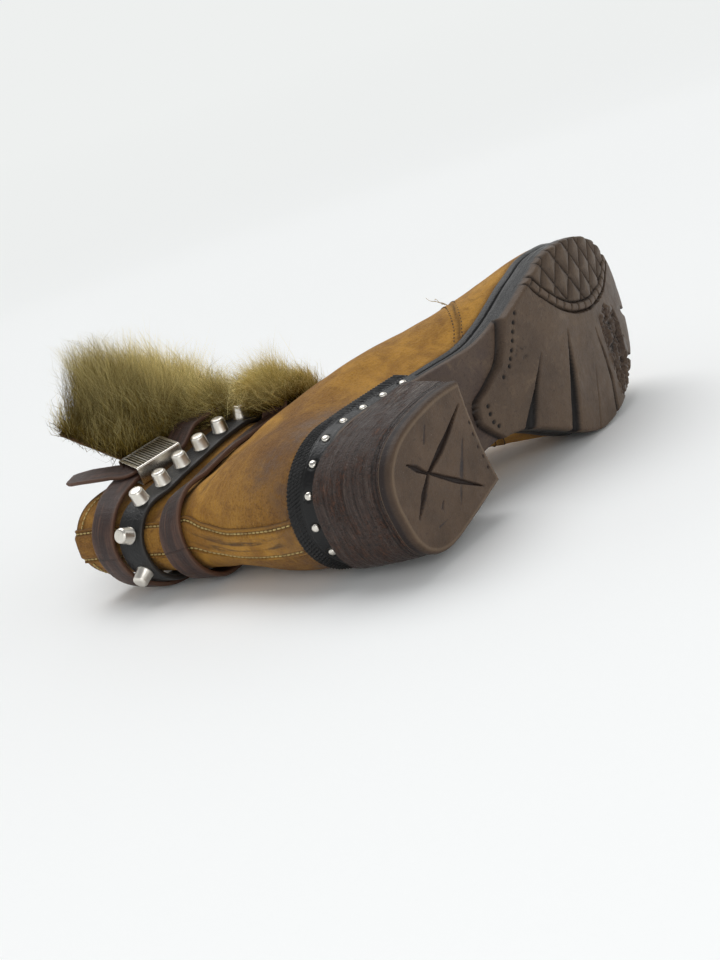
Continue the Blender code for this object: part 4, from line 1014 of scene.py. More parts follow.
def sole_relief(points, edge, deep):
    """Height of the sole's underside at plan points, and the fields that its finish needs."""
    x, y = points.T
    pad_route = curve_through(np.stack([PAD_EDGE_X, PAD_EDGE_Y], axis=1), 4)
    gap, _ = near(points, pad_route)
    ahead = np.where(x > smooth(PAD_EDGE_Y, PAD_EDGE_X, y), gap, -gap)
    pad = ease(-0.3, 0.5, ahead)
    level = smooth(SOLE_X, WAIST_UNDER, x) * (1 - pad) + smooth(SOLE_X, PAD_UNDER, x) * pad
    depth = np.zeros(len(points))
    for route, widths, deepest in PAD_GROOVES:
        depth = np.maximum(depth, groove_depth(points, route, widths, deepest))
    outline = ease(0.8, 0.2, np.abs(ahead + 0.5))
    treads, lines, crown = tread_relief(points, deep)
    # Painted shade: darker with depth in the pad's grooves, in the tread's lines and along the pad's edge.
    dark = np.maximum(ease(0.4, 1.8, depth), lines)
    dark = np.maximum(dark, outline * 0.9)
    depth = np.maximum(depth, treads) + 0.3 * outline
    bark = inside(points, BARK).astype(float)
    bark_edge, _ = near(points, BARK + BARK[:1])
    bark = bark * ease(0, 1.4, bark_edge)
    flakes = np.stack([x + 0.2 * y, 0.3 * y], axis=1)
    rough = np.abs(wander(flakes, 3.6, 5)) + 0.5 * np.abs(wander(points, 2.0, 6))
    rough = rough + 0.25 * wander(points, 5.0, 8)
    depth = depth + bark * (2.8 - 4.0 * np.clip(rough, 0, 1))
    # Painted shade in the bark's deepest parts, and a painted highlight on its raised flakes.
    dark = np.maximum(dark, bark * ease(0.45, 0.1, rough))
    crown = np.maximum(crown, bark * 0.7 * ease(0.5, 0.9, rough))
    for dot in PAD_DOTS:
        away = np.hypot(x - dot[0], y - dot[1])
        depth = depth + 0.9 * ease(1.35, 0.5, away)
        # Painted shade in each dot's dimple.
        dark = np.maximum(dark, ease(1.25, 0.75, away))
    scuff = np.zeros(len(points))
    for at_x, at_y, reach in SOLE_SCUFFS:
        scuff = np.maximum(scuff, ease(reach, 1.0, np.hypot(x - at_x, y - at_y)))
    scuff = scuff * ease(-0.1, 0.4, wander(points, 2.2, 13))
    depth = depth + 0.35 * scuff
    waves = wander(points, 7.0, 11) * 0.14 + wander(points, 2.4, 12) * 0.06
    rounding = edge_rounding(edge, 1.5)
    fields = {"groove": dark, "pad": pad, "bark": bark, "scuff": scuff, "crown": crown}
    return level + depth + rounding + waves * pad, fields


def make_outsole(colours, sizes):
    """Outsole as one skin: detailed underside, edges in two layers and top."""
    across, wall, top_lanes = 138, 9, 4
    row = section_row(0.0)
    back = row["back_x"] - WELT_MARGIN + 0.05
    front = row["front_x"] + WELT_MARGIN - 0.05
    marks = (back, back + 1.5, back + 8, 74.0, 100.0, front - 10, front - 1.5, front)
    x = np.interp(np.arange(414), (0, 8, 20, 48, 78, 370, 400, 413), marks)
    outer, inner = sole_edges(x, WELT_MARGIN)
    share = np.linspace(0, 1, across)
    share = 0.8 * share + 0.2 * (1 - np.cos(np.pi * share)) / 2
    y = outer[:, None] + share * (inner - outer)[:, None]
    plan = np.stack([np.broadcast_to(x[:, None], y.shape), y], axis=-1).reshape(-1, 2)
    loop = np.concatenate([np.stack([x, outer], 1)[::4], np.stack([x, inner], 1)[::-4]])
    edge, _ = near(plan, np.concatenate([loop, loop[:1]]))
    z, fields = sole_relief(plan, edge, sizes.tread_depth)
    z = z.reshape(y.shape)
    top = smooth(SOLE_X, SOLE_TOP, x) - GAP
    rise = np.linspace(0, 1, wall + 1)[1:]
    bulge = 0.3 * np.sin(np.pi * rise) - 0.5 * np.exp(-(((rise - 0.62) / 0.07) ** 2))
    spread = np.linspace(1, 0, top_lanes + 2)[1:-1]
    inner_wall = slice(across, across + wall)
    top_face = slice(across + wall, across + wall + top_lanes)
    outer_wall = slice(across + wall + top_lanes, across + 2 * wall + top_lanes)
    rings = np.zeros((len(x), across + 2 * wall + top_lanes, 3))
    rings[..., 0] = x[:, None]
    rings[:, :across, 1] = y
    rings[:, :across, 2] = z
    rings[:, inner_wall, 1] = inner[:, None] + bulge
    rings[:, inner_wall, 2] = z[:, -1:] + rise * (top - z[:, -1])[:, None]
    rings[:, top_face, 1] = outer[:, None] + spread * (inner - outer)[:, None]
    rings[:, top_face, 2] = top[:, None]
    rings[:, outer_wall, 1] = outer[:, None] - bulge[::-1]
    rings[:, outer_wall, 2] = z[:, :1] + rise[::-1] * (top - z[:, 0])[:, None]
    padded = {}
    for name, values in fields.items():
        full = np.zeros(rings.shape[:2])
        full[:, :across] = values.reshape(y.shape)
        full[:, inner_wall] = full[:, across - 1:across] * (1 - rise)
        full[:, outer_wall] = full[:, :1] * (1 - rise[::-1])
        if name == "pad":
            full[:, across:] = 1.0
        padded[name] = full.ravel()
    blackened = ease(0.22, 0.42, rise) * (1 - 0.75 * ease(236, 250, x))[:, None]
    walls = np.zeros(rings.shape[:2])
    walls[:, inner_wall] = blackened
    walls[:, outer_wall] = blackened[:, ::-1]
    padded["wall"] = walls.ravel()
    add_piece("outsole_tread", tube(rings), sole_rubber(colours), ["outsole"], padded, 60)


def heel_outline(share, count):
    """Plan outline of the heel at a share of its height, evenly spaced."""
    level = dict(zip(HEEL_COLUMNS, (1 - share) * np.array(HEEL_FACE) + share * np.array(HEEL_SEAT)))
    turn = np.linspace(-math.pi / 2, math.pi / 2, 121)
    back_x = -level["back"] * np.abs(np.cos(turn)) ** (2 / HEEL_POWER)
    back_y = level["half"] * np.sign(np.sin(turn)) * np.abs(np.sin(turn)) ** (2 / HEEL_POWER)
    reach = np.linspace(0.05, 1, 14)
    outer_x, inner_x = level["outer_x"] * reach, level["inner_x"] * reach
    outer_y = -level["half"] + (level["outer_y"] + level["half"]) * reach**2
    inner_y = level["half"] + (level["inner_y"] - level["half"]) * reach**2
    along = np.linspace(0.03, 0.97, 24)
    breast_x = inner_x[-1] + along * (outer_x[-1] - inner_x[-1]) - BREAST_HOLLOW * (1 - (2 * along - 1) ** 2)
    breast_y = inner_y[-1] + along * (outer_y[-1] - inner_y[-1])
    x = np.concatenate([outer_x[::-1], back_x, inner_x, breast_x, outer_x[-1:]])
    y = np.concatenate([outer_y[::-1], back_y, inner_y, breast_y, outer_y[-1:]])
    run = np.concatenate([[0], np.cumsum(np.hypot(np.diff(x), np.diff(y)))])
    even = np.linspace(0, run[-1], count, endpoint=False)
    x = np.interp(even, run, x)
    y = np.interp(even, run, y)
    turn = math.radians(level["turn_deg"])
    plan_x = level["centre_x"] + x * math.cos(turn) - y * math.sin(turn)
    plan_y = level["centre_y"] + x * math.sin(turn) + y * math.cos(turn)
    return np.stack([plan_x, plan_y], axis=1), even


def make_heel_stack(colours):
    """Stack of lifts with fine lines round it, and two scored lines just above the top piece."""
    levels, count = 72, 260
    base = TOP_PIECE + 0.1
    rings, grooves, scuffs, runs = [], [], [], []
    for f in np.linspace(0, 1, levels):
        outline, even = heel_outline(f, count)
        plan = unit(np.roll(outline, -1, axis=0) - np.roll(outline, 1, axis=0))
        outward = np.stack([plan[:, 1], -plan[:, 0]], axis=1)
        outward = outward * np.sign(((outline - outline.mean(axis=0)) * outward).sum(axis=1).mean())
        top = smooth(SOLE_X, WAIST_UNDER, outline[:, 0]) - 0.05
        z = base + f * (top - base)
        rise = z - base
        wavy = rise + 0.5 * wander(np.stack([even, np.zeros(count)], 1), 14.0, 3)
        line = np.zeros(count)
        for at in SCORED_LINES:
            line = np.maximum(line, 0.8 * ease(0.5, 0.15, np.abs(rise - at)))
        broken = ease(-0.5, 0.3, wander(np.stack([even, rise], 1), 9.0, 23))
        for at in LIFT_LINES:
            line = np.maximum(line, 0.4 * broken * ease(0.6, 0.1, np.abs(wavy - at)))
        fine = wander(np.stack([even / 9, wavy * 2.2], 1), 1.0, 21)
        fine = fine + wander(np.stack([even / 3, rise], 1), 1.5, 22)
        bulge = 0.5 * math.sin(math.pi * f)
        moved = outline + outward * (bulge - 0.35 * line + 0.1 * fine)[:, None]
        rings.append(np.concatenate([moved, z[:, None]], axis=1))
        grooves.append(line)
        front_outer = ease(30, 62, outline[:, 0]) * (outline[:, 1] < 0)
        scuffs.append(np.clip(front_outer + 0.2, 0, 1) * ease(0.0, 3.0, rise))
        runs.append(np.stack([even, rise, np.zeros(count)], axis=1))
    fields = {"groove": np.ravel(grooves), "scuff": np.ravel(scuffs), "run": np.reshape(runs, (-1, 3))}
    paint = stacked_leather(colours)
    add_piece("heel_stack_lifts", tube(np.array(rings)), paint, ["heel_stack"], fields, 50)


def make_top_piece(colours):
    """Rubber wear face with its slashes, nicks and rounded rim."""
    rings_in, count = 84, 260
    outline, _ = heel_outline(0.0, count)
    centre = outline.mean(axis=0)
    spread = np.linspace(0.02, 1.0, rings_in) ** 0.9
    plan = (centre + spread[:, None, None] * (outline - centre)).reshape(-1, 2)
    edge, _ = near(plan, np.concatenate([outline, outline[:1]]))
    depth = np.zeros(len(plan))
    for route, widths, deep in HEEL_SLASHES:
        gap, share = near(plan, curve_through(route, 4))
        half = np.interp(share, np.linspace(0, 1, len(widths)), widths) / 2
        slope = np.maximum(0.7, 0.8 * half)
        depth = np.maximum(depth, deep * ease(0, 1, (half + 0.3 * slope - gap) / slope))
    # Painted shade in the slashes, darker where deeper, and in the nicks below.
    dark = ease(0.35, 1.1, depth)
    smear = ease(0.08, 0.3, depth) * (1 - dark)
    for x, y in HEEL_DOTS:
        away = np.hypot(plan[:, 0] - x, plan[:, 1] - y)
        depth = depth + 0.6 * ease(1.0, 0.3, away)
        dark = np.maximum(dark, ease(1.0, 0.5, away))
    rounding = edge_rounding(edge, 2.4)
    z = depth + rounding + 0.1 * wander(plan, 8.0, 31) + 0.06 * wander(plan, 2.0, 32)
    face = np.concatenate([plan, z[:, None]], axis=1).reshape(rings_in, count, 3)
    rises = np.linspace(0, 1, 9)[1:]
    walls = []
    for rise in rises:
        ring = face[-1].copy()
        ring[:, 2] += rise * (TOP_PIECE - ring[:, 2])
        walls.append(ring)
    blank = np.zeros(len(walls) * count)
    rise = np.repeat(rises, count)
    fields = {
        "groove": np.concatenate([dark, blank]),
        "smear": np.concatenate([smear, blank]),
        "rim": np.concatenate([ease(1.1, 0.0, edge) * 0.5, 0.55 + 0.45 * ease(0, 0.4, rise)]),
        "light": np.concatenate([0.35 * ease(1.0, 0.2, np.abs(edge - 2.0)), 0.5 * ease(0.88, 1.0, rise)]),
    }
    paint = heel_face_rubber(colours)
    skin = tube(np.concatenate([face, np.array(walls)]))
    add_piece("heel_wear_face", skin, paint, ["heel_top_piece"], fields, 60)


def make_insole(colours):
    """Sock lining on the insole board, slightly dished."""
    row = section_row(0.0)
    margin = -3.0
    x = np.linspace(row["back_x"] - margin + 0.2, row["front_x"] + margin - 0.2, 120)
    outer, inner = sole_edges(x, margin)
    share = np.linspace(0, 1, 24)
    y = outer[:, None] + share * (inner - outer)[:, None]
    low = np.broadcast_to(smooth(SOLE_X, SOLE_TOP, x)[:, None], y.shape)
    crown = 3.0 - 0.5 * np.sin(np.pi * share) + 0.15 * np.cos(8 * np.pi * share)
    top = np.stack([np.broadcast_to(x[:, None], y.shape), y, low + crown], axis=-1)
    under = np.stack([np.broadcast_to(x[:, None], y.shape), y, low], axis=-1)[:, ::-1]
    skin = tube(np.concatenate([top, under], axis=1))
    add_piece("sock_lining", skin, lining_leather(colours), ["insole"])


# Upper and what is sewn on it


# Creases placed one by one: route by place and climb or height, depth and width
CREASES = (
    (((0.36, 150.0), (0.42, 128.0), (0.50, 118.0), (0.58, 126.0), (0.64, 148.0)), "height", 1.4, 4.5),
    (((0.30, 121.0), (0.36, 112.0), (0.43, 104.0), (0.50, 100.0)), "height", 1.1, 4.0),
    (((0.12, 128.0), (0.18, 121.0), (0.25, 114.0), (0.31, 108.0)), "height", 0.9, 5.0),
    (((0.05, 118.0), (0.10, 113.0), (0.16, 108.0)), "height", 0.6, 4.0),
    (((0.60, 122.0), (0.68, 112.0), (0.76, 110.0)), "height", 1.0, 5.0),
    (((0.80, 124.0), (0.87, 114.0), (0.94, 112.0)), "height", 0.9, 5.0),
    (((0.395, 44.0), (0.44, 66.0), (0.50, 74.0), (0.56, 64.0), (0.60, 44.0)), "climb", 0.7, 3.2),
    (((0.405, 34.0), (0.45, 54.0), (0.50, 60.0), (0.55, 52.0), (0.59, 34.0)), "climb", 0.7, 2.8),
    (((0.42, 30.0), (0.46, 44.0), (0.50, 48.0), (0.54, 42.0), (0.58, 30.0)), "climb", 0.5, 2.6),
    (((0.02, 150.0), (0.10, 147.0), (0.18, 149.0), (0.26, 146.0)), "height", 0.8, 3.5),
    (((0.75, 148.0), (0.84, 145.0), (0.93, 149.0)), "height", 0.9, 4.0),
    (((0.03, 166.0), (0.08, 163.0), (0.14, 168.0)), "height", 0.6, 3.0),
)
# Rubbed and soiled spots by place and climb, with reach round and up the boot in millimetres
BURNISHED = (
    (0.029, 20.0, 9.0, 8.0), (0.05, 30.0, 12.0, 12.0), (0.075, 22.0, 12.0, 8.0), (0.10, 25.0, 14.0, 8.0),
    (0.012, 17.0, 9.0, 5.0), (-0.05, 21.0, 16.0, 6.0),
)
VAMP_SEAM = (
    (0.229, 10.0), (0.236, 13.0), (0.248, 17.0), (0.263, 23.0), (0.284, 32.0), (0.32, 49.0), (0.36, 68.0),
    (0.42, 92.0), (0.46, 106.0), (0.5, 114.0),
)


def on_boot(route, kind, offset=0.0):
    """Points on the upper along a route given by place and by height or climb."""
    places, rises = curve_through(route, 12).T
    rows = LAST.row_at_height(places, rises) if kind == "height" else LAST.row_at_climb(places, rises)
    return LAST.read(places, rows, offset), LAST.normal(places, rows)


def collar_height(place):
    """Height of the collar, highest at the back."""
    share = (1 + np.cos(2 * np.pi * np.asarray(place))) / 2
    return COLLAR_FRONT_Z + (COLLAR_BACK_Z - COLLAR_FRONT_Z) * share**1.5


def upper_fields(points, places, climbs):
    """Browner zones of the nubuck, and its burnished spots."""
    heights = points[:, 2]
    brown = 0.5 * ease(112, 150, heights) + 0.75 * ease(85, 30, points[:, 0]) * ease(118, 70, heights)
    brown = brown + 0.5 * ease(12.0, 9.0, climbs) + 0.3 * wander(points, 16.0, 41)
    brown = np.clip(brown, 0, 1) * 0.8
    burnish = np.zeros(len(points))
    for place, climb, reach, rise in BURNISHED:
        round_gap = (np.mod(places - place + 0.5, 1) - 0.5) * GIRTH_AT_FOOT / reach
        burnish = np.maximum(burnish, np.exp(-(round_gap**2) - ((climbs - climb) / rise) ** 2))
    return brown, burnish


def make_upper(colours, sizes):
    """Upper as a shell of nubuck with listed creases, and a separate lining inside it."""
    around, rings, inner_rings = 304, 150, 12
    places = np.arange(around) / around
    top = LAST.row_at_height(places, collar_height(places))
    rows = top[:, None] * np.linspace(0, 1, rings)
    place_grid = np.broadcast_to(places[:, None], rows.shape)
    points = LAST.read(place_grid, rows)
    normals = LAST.normal(place_grid, rows)
    steps = np.linalg.norm(np.diff(points, axis=1), axis=2)
    climbs = np.concatenate([np.zeros((around, 1)), np.cumsum(steps, axis=1)], axis=1)
    flat = points.reshape(-1, 3)
    lift = 0.5 * wander(flat, 26.0, 1) + 0.2 * wander(flat, 9.0, 2)
    # Painted shade: darker along the crease valleys, the sunk vamp seams and the foot of the upper by the
    # welt and rand.
    fold = np.zeros(len(flat))
    for route, kind, depth, width in CREASES:
        line, _ = on_boot(route, kind)
        gap, share = near(flat, line)
        fade = sizes.crease_depth * ease(0, 0.2, share) * ease(1, 0.8, share)
        lift = lift - depth * fade * hump(gap, width)
        lift = lift + 0.45 * depth * fade * hump(gap - 1.9 * width, width)
        fold = np.maximum(fold, 0.4 * fade * hump(gap, 0.45 * width))
    for mirror in (1, -1):
        seam, _ = on_boot([(mirror * place, climb) for place, climb in VAMP_SEAM], "climb")
        gap, _ = near(flat, seam)
        lift = lift - 0.6 * hump(gap, 0.9) + 0.45 * ease(4.0, 1.4, gap)
        fold = np.maximum(fold, 0.75 * hump(gap, 0.9))
    fold = np.maximum(fold, 0.6 * ease(14.0, 9.0, climbs.ravel()))
    calm = ease(2.0, 9.0, climbs.ravel())
    outer = flat + normals.reshape(-1, 3) * (lift * calm - 0.1)[:, None]
    outer = outer.reshape(points.shape)
    inner_rows = rows[:, np.linspace(rings - 1, 0, inner_rings).astype(int)]
    inner_places = np.broadcast_to(places[:, None], inner_rows.shape)
    inner = LAST.read(inner_places, inner_rows, np.full(inner_rows.shape, -2.4))
    rim = []
    for turn in (0.25, 0.5, 0.75):
        share = (1 - math.cos(turn * math.pi)) / 2
        crest = outer[:, -1] * (1 - share) + inner[:, 0] * share
        rim.append(crest + np.array((0, 0, 0.7 * math.sin(turn * math.pi))))
    skin = np.concatenate([outer, np.stack(rim, axis=1), inner], axis=1)
    brown, burnish = upper_fields(flat, place_grid.ravel(), climbs.ravel())
    run = np.stack([place_grid * LAST.girth(place_grid, rows), climbs, np.zeros(rows.shape)], axis=-1)
    extra = skin.shape[1] - rings

    def padded(values):
        """Values of the outer face, with its last ones carried over the rim and the inner face."""
        grid = np.reshape(values, (around, rings, -1))
        grid = np.concatenate([grid, np.repeat(grid[:, -1:], extra, axis=1)], axis=1)
        return grid.reshape(around * skin.shape[1], -1)

    cut_edge = ease(1.2, 0.0, np.abs(climbs - climbs[:, -1:]).ravel())
    fields = {
        "brown": padded(brown)[:, 0],
        "burnish": padded(burnish)[:, 0],
        "fold": padded(np.maximum(fold, 0.8 * cut_edge))[:, 0],
        "smear": padded(np.zeros(len(flat)))[:, 0],
        "run": padded(run),
    }
    quads = [grid_quads(around, skin.shape[1], True, True)]
    paint = nubuck("tan_nubuck", colours)
    add_piece("upper_leather", (skin.reshape(-1, 3), quads), paint, ["upper"], fields)
    make_lining(colours, places[::3], top[::3])
    make_upper_seams(colours, sizes)


def make_lining(colours, places, top):
    """Lining inside the shell, from the insole to just under the collar."""
    rows = top[:, None] * np.linspace(0.02, 0.985, 44)
    grid = np.broadcast_to(places[:, None], rows.shape)
    ripple = 0.3 * wander(LAST.read(grid, rows).reshape(-1, 3), 14.0, 8).reshape(rows.shape)
    face = LAST.read(grid, rows, -3.6 + ripple)
    back = LAST.read(grid, rows, np.full(rows.shape, -2.7))[:, ::-6]
    skin = np.concatenate([face, back], axis=1)
    quads = [grid_quads(len(places), skin.shape[1], True, True)]
    add_piece("lining", (skin.reshape(-1, 3), quads), lining_leather(colours))


def evenly(points, outs, pitch):
    """Points and directions along a line at an even pitch."""
    run = run_along(points)
    even = np.arange(pitch / 2, run[-1], pitch)
    return at_run(even, run, points), unit(at_run(even, run, outs))


def make_upper_seams(colours, sizes):
    """Stitches along the collar and the vamp seams, and the loose thread at the outer one."""
    batch = Batch()
    pitch, length = sizes.stitch_pitch / MM, sizes.stitch_length / MM
    places = np.linspace(-0.36, 0.205, 300)
    rows = LAST.row_at_height(places, collar_height(places) - 4.0)
    line, outs = LAST.read(places, rows, 0.35), LAST.normal(places, rows)
    stitch_row(batch, *evenly(line, outs, pitch), length, 0.8, 0.9)
    paint = thread_finish("cream_thread", colours.thread)
    add_piece("upper_stitches", batch.joined(), paint)
    batch = Batch()
    for shift in (-0.0075, 0.004):
        for mirror in (1, -1):
            route = [((place + shift) * mirror, climb) for place, climb in VAMP_SEAM]
            line, outs = on_boot(route, "climb", 0.22)
            stitch_row(batch, *evenly(line, outs, pitch), length * 0.62, 0.75, 0.7)
    add_piece("vamp_stitches", batch.joined(), thread_finish("brown_thread", tone(74, 50, 24)))
    start, outs = on_boot(((0.316, 48.0), (0.32, 49.0)), "climb", 0.4)
    batch = Batch()
    turns = circle(THREAD_SIDES)
    ring = np.stack([np.cos(turns), np.sin(turns), np.zeros(THREAD_SIDES)], axis=1)
    ring = ring @ frame_of((-0.75, 0.2, 0.3)).T * 0.2
    drift = 0.6 * outs[0] + np.array((-0.55, 0.0, 0.3))
    for seed, reach in ((1, 7.0), (2, 9.0), (3, 5.5), (4, 4.0)):
        t = np.linspace(0, 1, 14)[:, None]
        sway = np.array((math.sin(seed * 2.1), math.cos(seed * 1.3), 0.7)) * 2.6
        curl = np.stack([np.sin(5 * t[:, 0] + seed), np.cos(4 * t[:, 0] * seed), np.sin(3 * t[:, 0])], axis=1)
        path = start[0] + t * reach * drift + t * sway + 0.6 * t * curl
        batch.add(*tube(path[:, None] + ring))
    add_piece("loose_thread", batch.joined(), paint)


def band_skin(places, low, high, across, relief, base):
    """Skin of a band on the upper: an outer face with relief, and a coarse inner face on the boot."""
    rises = low[:, None] + np.linspace(0, 1, across) * (high - low)[:, None]
    grid = np.broadcast_to(places[:, None], rises.shape)
    rows = LAST.row_at_climb(grid, rises)
    outer = LAST.read(grid, rows, relief)
    under = rows[:, inner_lanes(across)]
    inner = LAST.read(places[:, None], under, np.full(under.shape, base))
    run = np.stack([grid * LAST.girth(grid, rows), rises, np.zeros(rises.shape)], axis=-1)
    return np.concatenate([outer, inner], axis=1), run


def inner_lanes(across):
    """The few lanes of a band that its hidden inner face keeps, in reverse."""
    return np.linspace(across - 1, 0, INNER_LANES).astype(int)


def doubled(values):
    """Values of a band's outer face, with the lanes of its inner face added."""
    return np.concatenate([values, values[:, inner_lanes(values.shape[1])]], axis=1)


def band_fields(**values):
    """Values of a band's outer face by name, carried over to its inner face and listed by point."""
    return {name: doubled(grid).reshape(-1, *grid.shape[2:]) for name, grid in values.items()}


def make_welt(colours):
    """Welt round the forefoot in two layers, with a fine line between them."""
    places = np.linspace(BREAST_OUT, BREAST_IN, 520)
    across = 22
    lanes = np.stack([places * 500, places * 0], 1)
    low = np.full(places.shape, 0.4)
    high = WELT_HEIGHT + 0.2 * wander(lanes, 9.0, 4)
    share = np.linspace(0, 1, across)
    lower_layer = np.clip(1 - np.abs(share / 0.52 * 2 - 1) ** 5, 0, 1) ** 0.5
    upper_layer = np.clip(1 - np.abs((share - 0.52) / 0.48 * 2 - 1) ** 4, 0, 1) ** 0.5
    lower_layer = 0.5 + (WELT_THICK + 0.3) * lower_layer
    upper_layer = 0.4 + (WELT_THICK - 0.2) * upper_layer
    layers = np.where(share < 0.52, lower_layer, upper_layer)
    relief = np.broadcast_to(layers, (len(places), across)) + 0.12 * wander(lanes, 5.0, 9)[:, None]
    skin, run = band_skin(places, low, high, across, relief, -0.4)
    line = hump(share - 0.52, 0.05)
    worn = 0.4 * hump(share - 0.4, 0.06) + 0.35 * hump(share - 0.93, 0.06)
    line = np.broadcast_to(line, relief.shape)
    worn = np.broadcast_to(worn * 0.6, relief.shape)
    fields = band_fields(groove=line, worn=worn, run=run)
    paint = black_leather("welt_leather", colours.black, 0.3)
    add_piece("welt_strip", tube(skin), paint, ["welt"], fields)


def rand_relief(places, rises, girth):
    """Relief of the heel rand: plain lower half, rows of slanted ribs above, seats for the tacks, and painted
    shade in its recesses.
    """
    along = places * girth
    slanted = ease(0.11, 0.075, np.abs(places))
    pitch, row_height, foot = 1.7, 1.62, 9.3
    row = np.floor((rises - foot) / row_height)
    within = (rises - foot) / row_height - row
    slant = (within - 0.5) * 1.1 * slanted
    phase = (along + slant + 0.5 * pitch * (row % 2) * slanted) / pitch
    rib = ease(0.25, 0.7, np.abs(np.mod(phase, 1.0) - 0.5) * 2)
    rib = rib * (1 - slanted * (1 - ease(0.0, 0.22, within) * ease(1.0, 0.78, within)))
    zone = ease(foot - 0.4, foot + 0.2, rises) * ease(RAND_HEIGHT + 0.4, RAND_HEIGHT - 0.3, rises)
    bead = hump(rises - foot + 0.8, 0.35)
    seat = np.zeros(places.shape)
    for place in np.linspace(-TACK_REACH, TACK_REACH, TACKS):
        away = np.hypot((places - place) * girth, rises - TACK_CLIMB)
        seat = np.maximum(seat, ease(3.0, 1.9, away))
    relief = GAP + RAND_THICK - 0.6 * zone + 0.55 * zone * rib - 0.3 * bead - 0.35 * seat
    # Painted shade between the ribs, round the tack seats and along the sunk bead.
    dark = np.maximum(zone * (1 - rib) * 0.9, np.maximum(seat * 0.8, bead * 0.7))
    return relief, dark


def make_heel_rand(colours):
    """Black rand round the heel with embossed ribs, a pinked top edge, and domed steel tacks."""
    places = np.linspace(BREAST_IN - 1, BREAST_OUT, 640)
    across = 52
    foot_row = LAST.row_at_climb(places, 8.0)
    girth = LAST.girth(places, foot_row)
    low = np.full(places.shape, 0.4)
    pinked = np.abs(np.mod(places * girth / 1.7, 1.0) - 0.5) * 2
    high = RAND_HEIGHT - 0.7 * (1 - pinked)
    rises = low[:, None] + np.linspace(0, 1, across) * (high - low)[:, None]
    relief, dark = rand_relief(np.broadcast_to(places[:, None], rises.shape), rises, girth[:, None])
    share = np.linspace(0, 1, across)
    edge = ease(0.0, 0.05, share) * ease(1.0, 0.96, share)
    relief = 0.3 + (relief - 0.3) * (0.35 + 0.65 * edge)
    skin, run = band_skin(places, low, high, across, relief, -0.5)
    worn = 0.3 * ease(0.8, 1.0, share) * np.ones(rises.shape)
    fields = band_fields(groove=dark, worn=worn * (1 - dark), run=run)
    paint = black_leather("rand_leather", colours.black, 0.24)
    add_piece("heel_rand_band", tube(skin), paint, ["heel_rand"], fields)
    make_tacks(colours)


def make_tacks(colours):
    """Low domed tacks along the rand."""
    dome = (
        (0.03, -0.5), (0.85, -0.5), (0.98, -0.25), (1.0, 0.0), (0.95, 0.22), (0.8, 0.42), (0.5, 0.56),
        (0.03, 0.62),
    )
    head, faces = turned(np.array(dome) * TACK_RADIUS, 24)
    batch = Batch()
    for place in np.linspace(-TACK_REACH, TACK_REACH, TACKS):
        row = LAST.row_at_climb(place, TACK_CLIMB)
        seat = LAST.read(place, row, GAP + RAND_THICK - 0.2)
        batch.add(seat + head @ frame_of(LAST.normal(place, row)).T, faces)
    nodes = [f"rand_tack_{k + 1:02d}" for k in range(TACKS)]
    paint = metal("tack_nickel", colours.nickel, 0.2)
    add_piece("rand_tack_heads", batch.joined(), paint, nodes)


